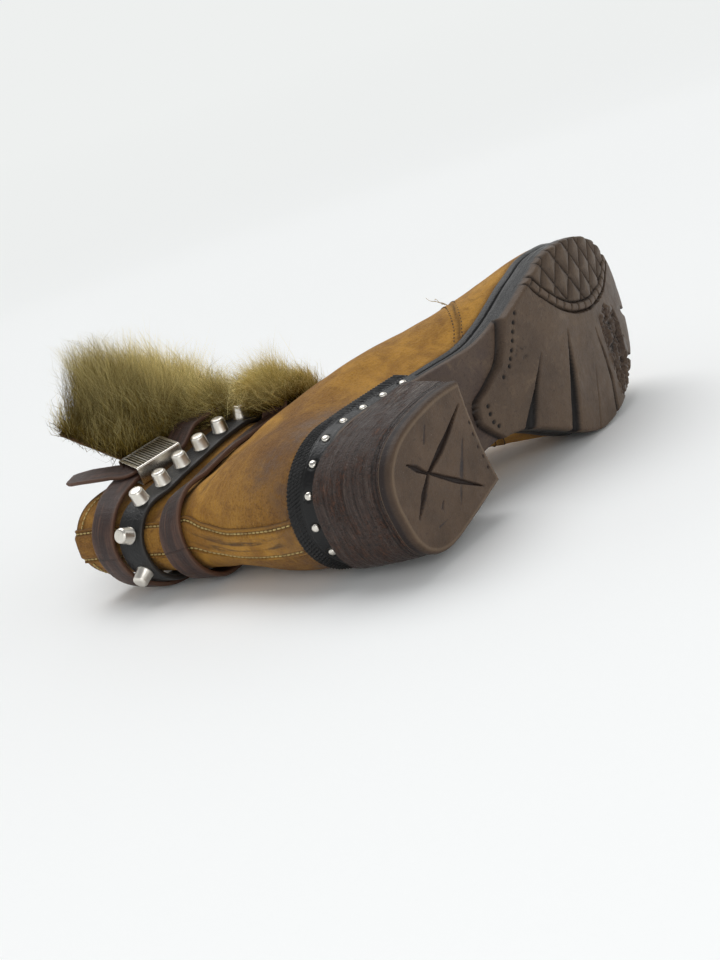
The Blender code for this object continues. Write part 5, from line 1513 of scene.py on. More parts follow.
def make_back_strip(colours, sizes):
    """Strip up the back, pulled down along its two stitched seams."""
    rings, across = 180, 44
    foot = LAST.row_at_climb(0.0, RAND_HEIGHT - 1.5)
    top = LAST.row_at_height(0.0, COLLAR_BACK_Z - 0.6)
    rows = np.linspace(foot, top, rings)
    spread = np.linspace(-STRIP_HALF, STRIP_HALF, across)
    girth = LAST.girth(np.zeros(rings), rows)
    climbs = run_along(LAST.read(np.zeros(rings), rows))
    shift = smooth(*zip(*STRIP_SHIFT), climbs + RAND_HEIGHT)
    places = (spread[None, :] + shift[:, None]) / girth[:, None]
    row_grid = np.broadcast_to(rows[:, None], places.shape)
    aside = np.abs(spread)
    pull = hump(aside - STRIP_SEAM, 0.9)
    swell = 0.5 * hump(aside - 4.6, 1.5) + 0.6 * hump(aside - 8.3, 0.7)
    base = LAST.read(places, row_grid)
    rough = 0.22 * wander(base.reshape(-1, 3), 8.0, 51).reshape(places.shape)
    pucker = 0.16 * np.sin(np.arange(rings) * 2.3)[:, None] * hump(aside - STRIP_SEAM, 2.0)
    edge = ease(0.0, 0.9, STRIP_HALF - aside)
    relief = 0.25 + (1.15 - 0.8 * pull + swell * 0.6) * (0.4 + 0.6 * edge) + (rough + pucker) * edge
    outer = LAST.read(places, row_grid, relief)
    under = places[:, inner_lanes(across)]
    inner = LAST.read(under, rows[:, None], np.full(under.shape, -0.4))
    lanes = np.stack([np.broadcast_to(spread, places.shape).ravel() * 1.2, np.repeat(climbs, across) / 7], 1)
    streak = wander(lanes, 2.0, 61).reshape(places.shape) + 0.5 * wander(lanes, 0.8, 62).reshape(places.shape)
    smear = ease(-0.15, 0.5, streak) * ease(5.5, 1.5, aside) * ease(3, 14, climbs)[:, None]
    smear = smear * ease(88, 50, climbs)[:, None]
    burnish = ease(26, 4, climbs)[:, None] * np.ones(places.shape) * 0.7
    run = spread_over(places, climbs[:, None], spread, 0.0)
    # Painted shade along the seams where the strip is pulled down, and darker at its edges by the upper.
    fold = np.broadcast_to(0.8 * pull + 0.6 * (1 - edge), places.shape)
    brown = np.broadcast_to(0.15 + 0.4 * ease(60, 100, climbs)[:, None], places.shape)
    fields = band_fields(brown=brown, burnish=burnish, fold=fold, smear=smear, run=run)
    paint = nubuck("strip_nubuck", colours)
    skin = tube(np.concatenate([outer, inner], axis=1))
    add_piece("back_strip_leather", skin, paint, ["back_strip"], fields)
    batch = Batch()
    for side in (-1, 1):
        seam = (side * STRIP_SEAM + shift) / girth
        line = LAST.read(seam, rows, np.full(rings, 0.75))
        outs = LAST.normal(seam, rows)
        spots = evenly(line[3:], outs[3:], sizes.stitch_pitch / MM)
        stitch_row(batch, *spots, sizes.stitch_length / MM, 0.95, 1.0)
    add_piece("strip_stitches", batch.joined(), thread_finish("strip_thread", colours.thread))


# Straps and metal


def from_back(place):
    """Place as a share either side of the back, from -0.5 to 0.5."""
    return np.mod(np.asarray(place) + 0.5, 1.0) - 0.5


def strap_profile(width, thick, crown=0.2):
    """Cross section of a strap with rounded edges: across, out and how near to a cut edge."""
    half, radius = width / 2, thick * 0.34
    points = []
    for a in np.linspace(-1, 1, 11):
        points.append((a * (half - radius), thick + crown * (1 - a * a), ease(0.75, 1.0, abs(a)) * 0.5))
    for side, turns in ((1, np.linspace(70, -70, 7)), (-1, np.linspace(250, 110, 7))):
        for turn in np.radians(turns):
            out = thick / 2 + (thick / 2 - radius) * np.sign(math.sin(turn)) + radius * math.sin(turn)
            points.append((side * (half - radius) + radius * math.cos(turn), out, 1.0))
        if side == 1:
            points += [(a * (half - radius), 0.0, 0.3) for a in np.linspace(1, -1, 5)]
    return np.array(points)


def strap_middle(heights, lifts, places, width):
    """Lower and upper line of a strap, and its outward direction."""
    knots, levels = zip(*heights)
    middle = smooth(knots, levels, from_back(places))
    lift = np.interp(from_back(places), *zip(*lifts))
    low_row = LAST.row_at_height(places, middle - width / 2)
    high_row = LAST.row_at_height(places, middle + width / 2)
    low, high = LAST.read(places, low_row, lift), LAST.read(places, high_row, lift)
    out = LAST.normal(places, low_row) + LAST.normal(places, high_row)
    across = unit(high - low)
    out = unit(out - (out * across).sum(axis=1, keepdims=True) * across)
    return (low + high) / 2, across, out


def make_strap(name, node, finish, heights, lifts, places, width, closed, seed):
    """One strap round the shaft."""
    centre, across, out = strap_middle(heights, lifts, places, width)
    profile = strap_profile(width, STRAP_THICK)
    along = run_along(centre)
    lanes = np.stack([along, along * 0], axis=1)
    sway = 0.25 * wander(lanes, 17.0, seed)
    narrow = 1 + 0.02 * wander(lanes, 11.0, seed + 1)
    if closed:
        fade = ease(0, 12, along) * ease(along[-1], along[-1] - 12, along)
        sway, narrow = sway * fade, 1 + (narrow - 1) * fade
    spread = profile[:, 0] * narrow[:, None] + sway[:, None]
    rings = centre[:, None] + spread[..., None] * across[:, None] + profile[:, 1:2] * out[:, None]
    run = spread_over(spread, along[:, None], spread, profile[:, 1])
    edge = np.broadcast_to(profile[:, 2], spread.shape).ravel()
    fields = {"edge": edge, "worn": edge * 0.5, "run": run.reshape(-1, 3)}
    add_piece(name, tube(rings, around=closed), finish, [node], fields)


def make_straps(colours):
    """Two brown straps and the black studded strap between them."""
    brown = strap_leather("brown_strap_leather", colours.strap)
    black = black_leather("black_strap_leather", colours.black, 0.3)
    ring = np.arange(330) / 330
    part_ring = np.linspace(*STUD_STRAP_ENDS, 300)
    make_strap("strap_lower", "lower_strap", brown, LOWER_STRAP_HEIGHT, LOWER_STRAP_LIFT,
               ring, STRAP_WIDTH, True, 70)
    make_strap("strap_upper", "upper_strap", brown, UPPER_STRAP_HEIGHT, UPPER_STRAP_LIFT,
               ring, STRAP_WIDTH, True, 74)
    make_strap("strap_studded", "stud_strap", black, STUD_STRAP_HEIGHT, STUD_STRAP_LIFT,
               part_ring, STUD_STRAP_WIDTH, False, 78)
    make_tail(brown)


def make_studs(colours):
    """Cone studs with bevelled flat tops, each on a thin flange."""
    base, top, height = STUD_SIZE
    profile = (
        (0.05, -0.7), (base - 0.1, -0.7), (base, -0.3), (base, 0.2), (base - 0.2, 0.5),
        (top + 0.12, height - 1.1), (top + 0.02, height - 0.85), (top - 0.5, height - 0.16),
        (top - 0.75, height), (top * 0.5, height + 0.03), (0.05, height + 0.04),
    )
    head, faces = turned(profile, 40)
    batch = Batch()
    for k in range(STUDS):
        place = np.array([STUD_FIRST - k * STUD_PITCH])
        centre, _, out = strap_middle(STUD_STRAP_HEIGHT, STUD_STRAP_LIFT, place, STUD_STRAP_WIDTH)
        seat = centre[0] + out[0] * (STRAP_THICK + GAP)
        batch.add(seat + head @ frame_of(out[0]).T, faces)
    nodes = [f"stud_{k + 1:02d}" for k in range(STUDS)]
    paint = metal("stud_nickel", colours.nickel, 0.24)
    add_piece("studs", batch.joined(), paint, nodes, sharp_deg=32)


def buckle_frame():
    """Seat of the buckle on the outer side, and its directions forwards, up and outwards."""
    steps = np.array([0.0, -BUCKLE_REACH, BUCKLE_REACH]) + BUCKLE_PLACE
    knots, levels = zip(*UPPER_STRAP_HEIGHT)
    rows = LAST.row_at_height(steps, smooth(knots, levels, from_back(steps)))
    seat, back, front = LAST.read(steps, rows)
    out = LAST.normal(steps, rows)[0]
    ahead = front - back
    ahead = unit(ahead - (ahead @ out) * out)
    return seat, ahead, np.cross(out, ahead), out


def make_buckle(colours):
    """Sleeve buckle: a folded band of steel open at both ends, fine ribs across its top, a plain bright rim
    and painted shade inside.
    """
    seat, ahead, up, out = buckle_frame()
    half_w, depth, radius = BUCKLE_WIDTH / 2, BUCKLE_DEPTH, 1.0
    corners = ((half_w, depth), (-half_w, depth), (-half_w, 0.0), (half_w, 0.0))
    outer = []
    top_count = 30
    for a in np.linspace(1, -1, top_count):
        outer.append((a * (half_w - radius), depth))
    for (y, z), turns in zip(corners[1:] + corners[:1], ((90, 180), (180, 270), (270, 360), (0, 90))):
        centre_y = y - math.copysign(radius, y)
        centre_z = z - radius if z else z + radius
        for turn in np.radians(np.linspace(*turns, 6)):
            outer.append((centre_y + radius * math.cos(turn), centre_z + radius * math.sin(turn)))
    outer = np.array(outer)
    middle = np.array((0.0, depth / 2))
    shrink = np.array((1 - 2 * BUCKLE_WALL / BUCKLE_WIDTH, 1 - 2 * BUCKLE_WALL / BUCKLE_DEPTH))
    inner = middle + (outer - middle) * shrink
    stations = np.linspace(-BUCKLE_LENGTH / 2, BUCKLE_LENGTH / 2, 180)
    pitch, rim = 1.6, 1.0
    ribbed = ease(BUCKLE_LENGTH / 2 - rim, BUCKLE_LENGTH / 2 - rim - 0.3, np.abs(stations))
    flat = (outer[:, 1] > depth - 0.01) & (np.abs(outer[:, 0]) < half_w - rim)
    ends = ease(BUCKLE_LENGTH / 2, BUCKLE_LENGTH / 2 - 0.5, np.abs(stations))
    skins, grooves = [], []
    for x, share, end in zip(stations, ribbed, ends):
        face = outer.copy()
        low = ease(0.35, 0.65, abs(x / pitch % 1 - 0.5) * 2) * flat * share
        face[:, 1] -= 0.6 * low
        face = middle + (face - middle) * (1 - 0.018 * (1 - end))
        skins.append(seat + ahead * x + face[:, :1] * up + (face[:, 1:] + BUCKLE_SEAT) * out)
        grooves.append(low * 0.95)
    back = []
    for x in stations[::-12]:
        back.append(seat + ahead * x + inner[:, :1] * up + (inner[:, 1:] + BUCKLE_SEAT) * out)
        # Painted shade: the sleeve's inner face is darkened all over.
        grooves.append(np.full(len(outer), 0.8))
    rings = np.array(skins + back)
    skin = rings.reshape(-1, 3), [grid_quads(len(rings), len(outer), True, True)]
    paint = metal("buckle_nickel", colours.nickel, 0.22)
    fields = {"groove": np.concatenate(grooves)}
    add_piece("buckle_sleeve", skin, paint, ["buckle"], fields, sharp_deg=40)


def make_tail(finish):
    """Free end of the upper strap: out of the buckle, curling up to a blunt worn end."""
    seat, ahead, up, out = buckle_frame()
    route = np.array(TAIL_ROUTE)
    share = np.linspace(0, len(route) - 1, 90)
    knots = np.arange(len(route))
    forwards, upwards, outwards = (smooth(knots, route[:, k], share) for k in range(3))
    outwards = outwards + TAIL_LEVEL - TAIL_THICK / 2
    centre = seat + forwards[:, None] * ahead + upwards[:, None] * up + outwards[:, None] * out
    run = unit(np.gradient(centre, axis=0))
    across = unit(np.cross(run, out))
    face_out = np.cross(across, run)
    profile = strap_profile(TAIL_WIDTH, TAIL_THICK, 0.15)
    narrow = np.interp(share, (0, 3.0, 3.8, 4.0), (1.0, 1.0, 0.82, 0.66))
    ragged = 0.7 * wander(np.stack([profile[:, 0] * 2, profile[:, 1]], 1), 1.6, 91) * (share[:, None] > 3.95)
    spread = profile[:, 0] * narrow[:, None]
    rings = centre[:, None] + spread[..., None] * across[:, None] + profile[:, 1:2] * face_out[:, None]
    rings = rings + ragged[..., None] * run[:, None]
    ways = spread_over(spread, run_along(centre)[:, None], spread, profile[:, 1])
    tip = ease(3.7, 4.0, share)[:, None] * 0.7
    edge = np.maximum(np.broadcast_to(profile[:, 2], spread.shape), tip)
    fields = {"edge": edge.ravel(), "run": ways.reshape(-1, 3)}
    add_piece("strap_free_end", tube(rings), finish, ["strap_tail"], fields)


# Fur


def fur_level(height, column):
    """A column of the fur's table at given heights."""
    return np.interp(height, FUR_ROWS[:, 0], FUR_ROWS[:, column])


def hide_point(place, height, offset):
    """Points on the hide, lifted off the upper and flared at the top, and their outward directions."""
    outer, inner = fur_level(height, 2), fur_level(height, 3)
    share = np.clip((place - outer) / (inner - outer), 0, 1)
    row = LAST.row_at_height(place, height)
    lift = FUR_LIFT + fur_level(height, 4) * smooth((0.3, 0.85), (1.0, 0.0), share)
    return LAST.read(place, row, lift + offset), LAST.normal(place, row), share


def make_hide(colours):
    """Hide that carries the fur, with a thin cut edge."""
    heights = np.linspace(FUR_ROWS[0, 0], FUR_ROWS[-1, 0], 64)
    share = np.linspace(0, 1, 50)
    outer, inner = fur_level(heights, 2), fur_level(heights, 3)
    places = outer[:, None] + share * (inner - outer)[:, None]
    levels = np.broadcast_to(heights[:, None], places.shape)
    under, _, _ = hide_point(places, levels, np.full(places.shape, -0.4))
    over, _, _ = hide_point(places, levels, np.full(places.shape, HIDE_THICK - 0.4))
    skin = tube(np.concatenate([over, under[:, ::-1]], axis=1))
    add_piece("fur_hide", skin, raw_hide(colours), ["fur_panel"])


def fur_strands(count, seed, kind, reach):
    """Roots, knees, tips, tone with painted shade, and curl of one kind of hair, gathered in locks."""
    rng = np.random.default_rng(seed)
    heights = rng.uniform(*kind["heights"], count * 3)
    places = rng.uniform(*kind["places"], count * 3)
    fits = (places > fur_level(heights, 2) - kind["beyond"]) & (places < fur_level(heights, 3))
    bare_height, bare_half, bare_end = BARE_RUN
    fits &= ~((np.abs(heights - bare_height) < bare_half) & (places < bare_end))
    heights, places = heights[fits][:count], places[fits][:count]
    number = len(heights)
    roots, outs, share = hide_point(places, heights, np.full(number, HIDE_THICK - 0.8))
    depth = smooth(*zip(*FUR_LENGTH), heights) * smooth(*zip(*FUR_SWELL), share + kind["inward"]) * reach
    flat = np.stack([places * GIRTH_AT_FUR, heights], axis=1)
    centres = flat[rng.integers(0, number, kind["locks"])]
    owner = np.zeros(number, int)
    at_once = 4000
    for start in range(0, number, at_once):
        part = flat[start:start + at_once]
        gaps = ((part[:, None] - centres[None]) ** 2).sum(axis=2)
        owner[start:start + at_once] = gaps.argmin(axis=1)
    lock = rng.uniform(0.7, 1.1, kind["locks"])[owner]
    lock_tone = rng.normal(0.0, 0.17, kind["locks"])[owner]
    lean_up = rng.normal(0.0, 0.26, kind["locks"])[owner] + rng.normal(0, kind["stray"], number)
    lean_side = rng.normal(0.0, 0.3, kind["locks"])[owner] + rng.normal(0, kind["stray"], number)
    bend = rng.normal(0, kind["bend"], (kind["locks"], 3))[owner]
    length = depth * lock * rng.uniform(*kind["length"], number)
    up = np.broadcast_to(np.array((0.0, 0.0, 1.0)), outs.shape)
    side = unit(np.cross(up, outs))
    lower = ease(192, 182, heights)
    edge = ease(0.32, 0.0, share)
    crest = ease(200, 226, heights)
    lean_up = lean_up + crest * (0.9 * ease(0.12, 0.45, share) - 0.25 * edge) - 0.4 * ease(142, 122, heights)
    lean_up = lean_up - kind["droop"] * ease(166, 146, heights)
    lean_side = lean_side + edge * (0.2 - kind["hang"] * lower) - kind["sweep"]
    aim = unit(outs + lean_up[:, None] * up + lean_side[:, None] * side)
    tips = roots + aim * length[:, None]
    gather = flat - centres[owner]
    pull = kind["gather"] * np.minimum(1.0, length / 20)
    tips = tips - side * (gather[:, :1] * pull[:, None]) - up * (gather[:, 1:] * pull[:, None])
    knees = roots + (outs * 0.75 + 0.25 * aim) * (length * 0.5)[:, None]
    knees = knees + bend * length[:, None]
    tips = tips - 0.6 * bend * length[:, None]
    # Painted shade: hair darkens towards the fur's outer edge, more so high up.
    shaded = ease(0.5, 0.08, share) * (0.3 + 0.7 * ease(170, 200, heights))
    shade = rng.normal(0.04, 0.14, number) + lock_tone + 0.2 * (lock < 0.8) + kind["edge_shade"] * shaded
    return roots, knees, tips, np.clip(shade, 0, 0.9), 1 + 1.4 * edge, rng


def keep_in_reach(points):
    """Hair points held above the floor and within the part's reach at the collar and above."""
    placed = points @ TURN.T * MM + SHIFT
    floor = FLOOR_CLEAR[0] + FLOOR_CLEAR[1] * (np.abs(points[..., 0] * 7.3) % 1)
    placed[..., 2] = np.maximum(placed[..., 2], floor)
    furthest = CAD_LOW[0] - REACH_LOW - REACH_HIGH * ease(0.07, 0.11, placed[..., 2])
    placed[..., 0] = np.maximum(placed[..., 0], furthest + REACH_SHARE * (placed[..., 0] - furthest))
    highest = CAD_HIGH[2] + CREST_REACH
    placed[..., 2] = np.minimum(placed[..., 2], highest + CREST_SHARE * (placed[..., 2] - highest))
    return (placed - SHIFT) @ TURN / MM


def add_hair(name, count, seed, kind, finish, reach):
    """One mesh of hair ribbons that turn their faces to the light above."""
    roots, knees, tips, tones_and_shade, curls, rng = fur_strands(count, seed, kind, reach)
    number = len(roots)
    shares = np.array(kind["shares"])
    spans = len(shares) - 1
    widths = (1 - shares**3) * kind["width"] / 2
    t = shares[None, :, None]
    curl = rng.normal(0, 1.0, (number, spans + 1, 3)) * kind["crimp"] * t
    curl = curl + rng.normal(0, 1.0, (number, 1, 3)) * kind["curl"] * (t * (1 - t) * 2 + 0.5 * t * t)
    curl = curl * curls[:, None, None]
    line = (1 - t) ** 2 * roots[:, None] + 2 * t * (1 - t) * knees[:, None] + t * t * tips[:, None] + curl
    line = keep_in_reach(line)
    facing = TURN.T @ np.array((0.0, 0.0, 1.0)) + rng.normal(0, 0.45, (number, 3))
    flat = unit(np.cross(tips - roots, facing))[:, None]
    left = line - flat * widths[None, :, None]
    right = line + flat * widths[None, :, None]
    points = np.concatenate([left[:, :-1], right[:, :-1], line[:, -1:]], axis=1).reshape(-1, 3)
    size = 2 * spans + 1
    start = np.arange(number)[:, None] * size
    corners = [(k, spans + k, spans + k + 1, k + 1) for k in range(spans - 1)]
    quads = np.concatenate([start + np.array(four) for four in corners])
    ends = start + np.array((spans - 1, 2 * spans - 1, 2 * spans))
    along = np.concatenate([shares[:-1], shares[:-1], shares[-1:]]) * kind["pale"]
    fields = {"up": np.broadcast_to(along, (number, size)).ravel(), "tone": np.repeat(tones_and_shade, size)}
    add_piece(name, (points, [quads, ends]), finish, fields=fields)


def make_fur(colours, sizes):
    """Hide, matted undercoat, long guard hair and the fringe that hangs over the straps."""
    make_hide(colours)
    finish = fur_hair(colours)
    everywhere = {
        "heights": (FUR_ROWS[0, 0], FUR_ROWS[-1, 0]), "places": (0.195, 0.646), "beyond": 0.0, "inward": 0.0,
        "hang": 1.7, "droop": 0.0, "sweep": 0.0,
    }
    undercoat = everywhere | {
        "locks": 1100, "length": (0.4, 0.75), "gather": 0.35, "width": 0.32, "curl": 1.9, "crimp": 1.0,
        "stray": 0.3, "pale": 0.62, "edge_shade": 0.5, "bend": 0.12, "shares": (0.0, 0.55, 1.0),
    }
    guard = everywhere | {
        "locks": 380, "length": (0.65, 1.1), "gather": 0.62, "width": 0.19, "curl": 1.8, "crimp": 0.6,
        "stray": 0.14, "pale": 1.0, "edge_shade": 0.6, "bend": 0.15, "shares": (0.0, 0.38, 0.72, 1.0),
    }
    fringe = guard | {
        "heights": (121.5, 143.0), "places": (0.36, 0.44), "beyond": 0.035, "inward": 0.2, "sweep": 1.0,
        "locks": 90, "length": (0.75, 1.2), "edge_shade": 0.25, "width": 0.2, "hang": 0.3, "droop": 0.2,
    }
    coats = (
        ("fur_undercoat_1", 17000, 100, undercoat), ("fur_undercoat_2", 17000, 101, undercoat),
        ("fur_guard_1", 25000, 200, guard), ("fur_guard_2", 25000, 201, guard),
        ("fur_fringe", 8000, 300, fringe),
    )
    for name, count, seed, kind in coats:
        add_hair(name, int(count * sizes.hair_count), seed, kind, finish, sizes.hair_length)


# Zip


def make_zip():
    """Zip up the inner side: two woven tapes, two rows of teeth and a slider at the top."""
    share = np.linspace(0, 1, 180)
    places = ZIP_FOOT[0] + share * (ZIP_HEAD[0] - ZIP_FOOT[0])
    rows = LAST.row_at_height(places, ZIP_FOOT[1] + share * (ZIP_HEAD[1] - ZIP_FOOT[1]))
    girth = LAST.girth(places, rows)
    out = LAST.normal(places, rows)
    centre = LAST.read(places, rows)
    along = run_along(centre)
    across = np.linspace(-ZIP_TAPE / 2, ZIP_TAPE / 2, 15)
    lift = 1.1 - 0.5 * hump(across, 0.6) - 0.7 * ease(5.0, 5.5, np.abs(across))
    spread = places[:, None] + across / girth[:, None]
    row_grid = np.broadcast_to(rows[:, None], spread.shape)
    top = LAST.read(spread, row_grid, np.broadcast_to(lift, spread.shape))
    under = LAST.read(spread[:, ::-1], row_grid, np.full(spread.shape, -0.3))
    run = spread_over(spread, along[:, None], across, 0.0)
    fields = {"run": np.concatenate([run, run[:, ::-1]], axis=1).reshape(-1, 3)}
    skin = tube(np.concatenate([top, under], axis=1))
    add_piece("zip_tapes", skin, tape_cloth(), ["zip"], fields)
    batch = Batch()
    pitch = 1.9
    head = np.arange(4.0, along[-1] - 6.0, pitch)
    box = np.array([(x, y, z) for z in (-1, 1) for x, y in ((-1, -1), (1, -1), (1, 1), (-1, 1))], float)
    box[4:, :2] *= 0.72
    sides = [np.array(((0, 3, 2, 1), (4, 5, 6, 7), (0, 1, 5, 4), (1, 2, 6, 5), (2, 3, 7, 6), (3, 0, 4, 7)))]
    for side in (-1, 1):
        for at in head + (pitch / 2 if side > 0 else 0.0):
            spot = at_run(at, along, centre)
            face = unit(at_run(at, along, out))
            ahead = unit(at_run(at + 1, along, centre) - spot)
            aside = np.cross(face, ahead)
            axes = np.stack([ahead * 0.62, aside * 1.35, face * 0.6])
            batch.add(spot + aside * side * 0.95 + face * 1.5 + box @ axes, sides)
    nickel = metal("zip_nickel", tone(150, 144, 134), 0.3)
    add_piece("zip_teeth_rows", batch.joined(), nickel, sharp_deg=30)
    make_zip_slider(nickel, centre, out, along)


def make_zip_slider(finish, centre, out, along):
    """Slider and its pull, lying down the zip from just under the collar."""
    at = along[-1] - 6.0
    spot = at_run(at, along, centre)
    face = unit(at_run(at, along, out))
    ahead = unit(spot - at_run(at - 8, along, centre))
    aside = np.cross(face, ahead)
    batch = Batch()
    for length, width, low, high, start in ((9.0, 7.5, 1.2, 2.9, 0.0), (17.0, 4.6, 2.6, 3.2, -11.5)):
        rings = []
        turns = circle(16)
        for x in np.linspace(-1, 1, 15):
            taper = width / 2 * (1 - 0.45 * abs(x) ** 4)
            y = taper * np.sign(np.cos(turns)) * np.abs(np.cos(turns)) ** 0.4
            z = (low + high) / 2 + (high - low) / 2 * np.sign(np.sin(turns)) * np.abs(np.sin(turns)) ** 0.4
            rings.append(spot + ahead * (start + x * length / 2) + y[:, None] * aside + z[:, None] * face)
        batch.add(*tube(np.array(rings)))
    add_piece("zip_slider", batch.joined(), finish, sharp_deg=40)


# Stage


def add_light(name, place, aim, size, power):
    """Soft box in the world's frame, in metres."""
    light = bpy.data.lights.new(name, "AREA")
    light.shape = "SQUARE"
    light.size = size
    light.energy = power
    obj = new_object(name, light)
    obj.location = place
    obj.rotation_euler = (Vector(aim) - Vector(place)).to_track_quat("-Z", "Y").to_euler()


def add_sun(name, place, spread_deg, strength):
    """Very soft light from one direction, the same everywhere on the floor."""
    sun = bpy.data.lights.new(name, "SUN")
    sun.angle = math.radians(spread_deg)
    sun.energy = strength
    obj = new_object(name, sun)
    obj.rotation_euler = (-Vector(place)).to_track_quat("-Z", "Y").to_euler()


def make_floor(settings):
    """Paper floor round the boot that sweeps up all round, far away."""
    profile = np.array((
        (0.02, 0.0), (0.6, 0.0), (1.6, 0.0), (2.6, 0.0), (3.6, 0.0), (4.8, 0.15), (6.0, 0.6), (7.2, 1.5),
        (8.2, 2.9), (8.8, 4.6), (9.0, 6.5),
    ))
    sides = 96
    turns = circle(sides)
    rings = [np.stack([r * np.cos(turns), r * np.sin(turns), np.full(sides, z)], axis=1) for r, z in profile]
    mesh = bpy.data.meshes.new("floor")
    quads = grid_quads(len(rings), sides, False, True)
    mesh.from_pydata(np.concatenate(rings).tolist(), [], quads.tolist() + [tuple(range(sides))])
    mesh.shade_smooth()
    far = mesh.attributes.new("far", "FLOAT", "POINT")
    far.data.foreach_set("value", np.repeat(ease(1.6, 6.0, profile[:, 0]), sides))
    mesh.materials.append(floor_paper(settings.floor, settings.glow).material)
    new_object("floor", mesh)


def make_stage(settings):
    """Pale floor, soft light and the camera."""
    make_floor(settings)
    world = bpy.data.worlds.new("studio")
    world.use_nodes = True
    world.node_tree.nodes["Background"].inputs["Color"].default_value = (*settings.sky, 1.0)
    world.node_tree.nodes["Background"].inputs["Strength"].default_value = settings.sky_strength
    bpy.context.scene.world = world
    bpy.context.scene.view_settings.view_transform = "Standard"
    add_sun("soft_light_above", (-0.35, 0.25, 1.0), 50.0, settings.above_strength)
    add_light("soft_box_sole_side", (1.3, -1.1, 0.8), (0.0, 0.0, 0.05), 0.9, settings.side_power)
    camera = bpy.data.cameras.new("photo_camera")
    camera.sensor_fit = "VERTICAL"
    camera.sensor_height = CAMERA_SENSOR
    camera.lens = CAMERA_LENS
    camera.clip_start = 0.01
    obj = new_object("photo_camera", camera)
    right, down = TURN @ CAMERA_RIGHT, TURN @ CAMERA_DOWN
    ahead = np.cross(right, down)
    pose = np.eye(4)
    pose[:3, :3] = np.stack([right, -down, -ahead], axis=1)
    pose[:3, 3] = TURN @ np.array(CAMERA_AT) * MM + SHIFT
    obj.matrix_world = Matrix(pose.tolist())
    bpy.context.scene.camera = obj


# Settings, operators and panel


def colour_setting(name, description, levels):
    """A colour that a user would change, with its default in display levels."""
    return bpy.props.FloatVectorProperty(
        name=name, description=description, subtype="COLOR", size=3, min=0.0, max=1.0, default=tone(*levels)
    )


def number_setting(name, description, default, **limits):
    """A number that a user would change, with its limits and its unit or subtype."""
    return bpy.props.FloatProperty(name=name, description=description, default=default, **limits)


class BootColours(bpy.types.PropertyGroup):
    """Colours of the boot's leathers, rubber, fur and metal."""

    pad: colour_setting("Pad", "Rubber of the forefoot pad", (90, 73, 58))
    waist: colour_setting("Waist", "Rubber of the sole's waist", (74, 60, 54))
    heel_face: colour_setting("Heel face", "Rubber of the heel's wear face", (90, 72, 57))
    stack: colour_setting("Heel stack", "Edges of the heel's lifts", (44, 28, 21))
    tan: colour_setting("Tan", "Darker tone of the upper", (146, 102, 38))
    ochre: colour_setting("Ochre", "Lighter tone of the upper", (188, 138, 54))
    brown: colour_setting("Brown", "Tone of the shaft and heel", (106, 70, 30))
    thread: colour_setting("Thread", "Thread of the seams", (184, 162, 104))
    lining: colour_setting("Lining", "Lining of the shaft", (176, 144, 104))
    black: colour_setting("Black", "Welt, rand and studded strap", (12, 12, 13))
    strap: colour_setting("Strap", "Brown straps", (46, 30, 26))
    nickel: colour_setting("Nickel", "Studs, tacks and buckle", (226, 221, 212))
    root: colour_setting("Fur root", "Hair at the hide", (52, 38, 8))
    middle: colour_setting("Fur middle", "Hair half way", (150, 124, 42))
    tip: colour_setting("Fur tip", "Hair at its tip", (242, 225, 156))


class BootSizes(bpy.types.PropertyGroup):
    """Sizes that a user would change."""

    tread_depth: number_setting(
        "Tread depth", "Drop of the diamonds at their edges, in millimetres", 1.9, min=0.0, max=2.2
    )
    crease_depth: number_setting(
        "Creases", "Depth of the upper's creases, as a share", 1.0, min=0.0, max=1.5, subtype="FACTOR"
    )
    stitch_pitch: number_setting("Stitch pitch", "From stitch to stitch", 0.0026, min=0.001, unit="LENGTH")
    stitch_length: number_setting("Stitch length", "Length of one stitch", 0.0021, min=0.0005, unit="LENGTH")
    hair_length: number_setting(
        "Hair length", "Length of the fur, as a share", 1.0, min=0.2, max=1.1, subtype="FACTOR"
    )
    hair_count: number_setting(
        "Hair count", "Number of hairs, as a share", 1.0, min=0.05, max=1.1, subtype="FACTOR"
    )


class BootStage(bpy.types.PropertyGroup):
    """Floor and light."""

    floor: colour_setting("Floor", "Backdrop paper", (246, 247, 247))
    glow: colour_setting("Backdrop", "Light of the backdrop far behind", (237, 239, 238))
    sky: colour_setting("Fill light", "Light from all round", (250, 251, 253))
    sky_strength: number_setting("Fill strength", "Light from all round", 0.3, min=0.0)
    above_strength: number_setting("Light above", "Soft light from above the boot", 1.6, min=0.0)
    side_power: number_setting(
        "Light at the sole", "Soft box on the sole's side", 4.5, min=0.0, unit="POWER"
    )


class BOOT_OT_outsole(bpy.types.Operator):
    """Make the outsole with its pad, grooves and diamond tread"""

    bl_idname = "boot.outsole"
    bl_label = "Outsole"

    def execute(self, context):
        make_outsole(context.scene.boot_colours, context.scene.boot_sizes)
        return {"FINISHED"}


class BOOT_OT_heel(bpy.types.Operator):
    """Make the heel stack and its slashed wear face"""

    bl_idname = "boot.heel"
    bl_label = "Heel"

    def execute(self, context):
        make_heel_stack(context.scene.boot_colours)
        make_top_piece(context.scene.boot_colours)
        return {"FINISHED"}


class BOOT_OT_insole(bpy.types.Operator):
    """Make the sock lining on the insole"""

    bl_idname = "boot.insole"
    bl_label = "Insole"

    def execute(self, context):
        make_insole(context.scene.boot_colours)
        return {"FINISHED"}


class BOOT_OT_upper(bpy.types.Operator):
    """Make the creased upper, its lining and its seams"""

    bl_idname = "boot.upper"
    bl_label = "Upper"

    def execute(self, context):
        make_upper(context.scene.boot_colours, context.scene.boot_sizes)
        return {"FINISHED"}


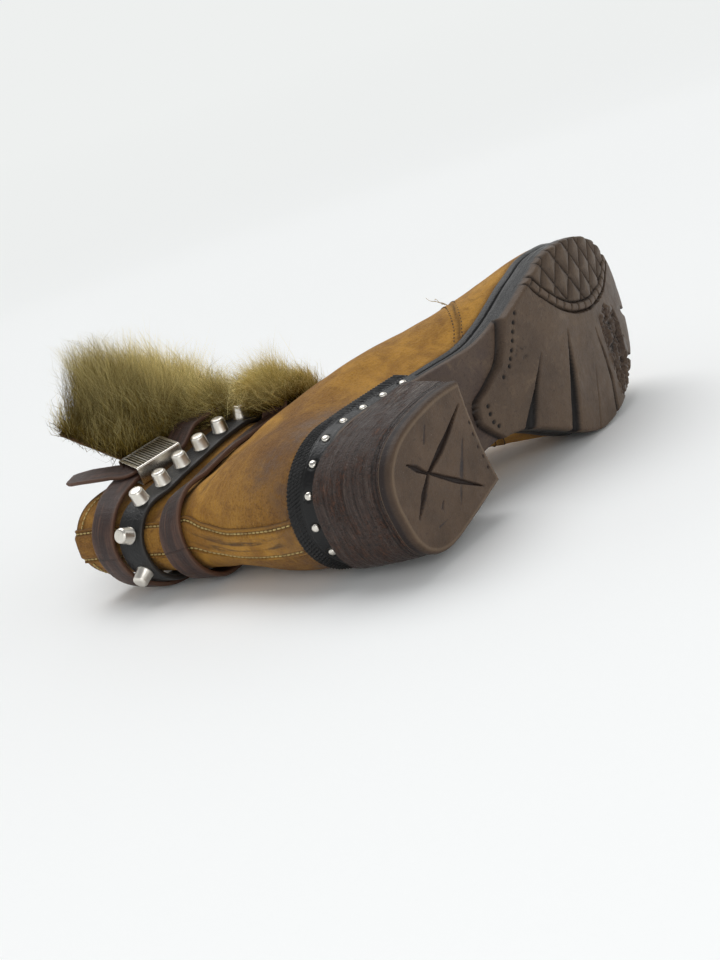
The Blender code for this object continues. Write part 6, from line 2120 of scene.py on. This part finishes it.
class BOOT_OT_bands(bpy.types.Operator):
    """Make the welt, the heel rand with its tacks and the back strip"""

    bl_idname = "boot.bands"
    bl_label = "Welt, rand and back strip"

    def execute(self, context):
        make_welt(context.scene.boot_colours)
        make_heel_rand(context.scene.boot_colours)
        make_back_strip(context.scene.boot_colours, context.scene.boot_sizes)
        return {"FINISHED"}


class BOOT_OT_straps(bpy.types.Operator):
    """Make the straps with their free end"""

    bl_idname = "boot.straps"
    bl_label = "Straps"

    def execute(self, context):
        make_straps(context.scene.boot_colours)
        return {"FINISHED"}


class BOOT_OT_metal(bpy.types.Operator):
    """Make the studs and the buckle"""

    bl_idname = "boot.metal"
    bl_label = "Studs and buckle"

    def execute(self, context):
        make_studs(context.scene.boot_colours)
        make_buckle(context.scene.boot_colours)
        return {"FINISHED"}


class BOOT_OT_fur(bpy.types.Operator):
    """Make the hide and its hair"""

    bl_idname = "boot.fur"
    bl_label = "Fur"

    def execute(self, context):
        make_fur(context.scene.boot_colours, context.scene.boot_sizes)
        return {"FINISHED"}


class BOOT_OT_zip(bpy.types.Operator):
    """Make the zip up the inner side"""

    bl_idname = "boot.zip"
    bl_label = "Zip"

    def execute(self, context):
        make_zip()
        return {"FINISHED"}


class BOOT_OT_stage(bpy.types.Operator):
    """Set the floor, the light and the camera"""

    bl_idname = "boot.stage"
    bl_label = "Stage"

    def execute(self, context):
        make_stage(context.scene.boot_stage)
        return {"FINISHED"}


OPERATORS = (
    BOOT_OT_stage, BOOT_OT_outsole, BOOT_OT_heel, BOOT_OT_insole, BOOT_OT_upper, BOOT_OT_bands,
    BOOT_OT_straps, BOOT_OT_metal, BOOT_OT_fur, BOOT_OT_zip,
)


class BOOT_PT_panel(bpy.types.Panel):
    """Lists the boot's settings and operators"""

    bl_idname = "BOOT_PT_panel"
    bl_label = "Fur boot"
    bl_space_type = "VIEW_3D"
    bl_region_type = "UI"
    bl_category = "Boot"

    def draw(self, context):
        scene = context.scene
        for settings in (scene.boot_colours, scene.boot_sizes, scene.boot_stage):
            for key in settings.__annotations__:
                self.layout.prop(settings, key)
        for operator in OPERATORS:
            self.layout.operator(operator.bl_idname)


CLASSES = (BootColours, BootSizes, BootStage, *OPERATORS, BOOT_PT_panel)


def register():
    """Registers the classes, and the settings on the scene."""
    for made in CLASSES:
        bpy.utils.register_class(made)
    bpy.types.Scene.boot_colours = bpy.props.PointerProperty(type=BootColours)
    bpy.types.Scene.boot_sizes = bpy.props.PointerProperty(type=BootSizes)
    bpy.types.Scene.boot_stage = bpy.props.PointerProperty(type=BootStage)


def unregister():
    """Takes back what register added."""
    del bpy.types.Scene.boot_stage
    del bpy.types.Scene.boot_sizes
    del bpy.types.Scene.boot_colours
    for made in reversed(CLASSES):
        bpy.utils.unregister_class(made)


def main():
    """Builds the stage and every piece."""
    register()
    for operator in OPERATORS:
        group, name = operator.bl_idname.split(".")
        getattr(getattr(bpy.ops, group), name)()


if __name__ == "__main__":
    main()
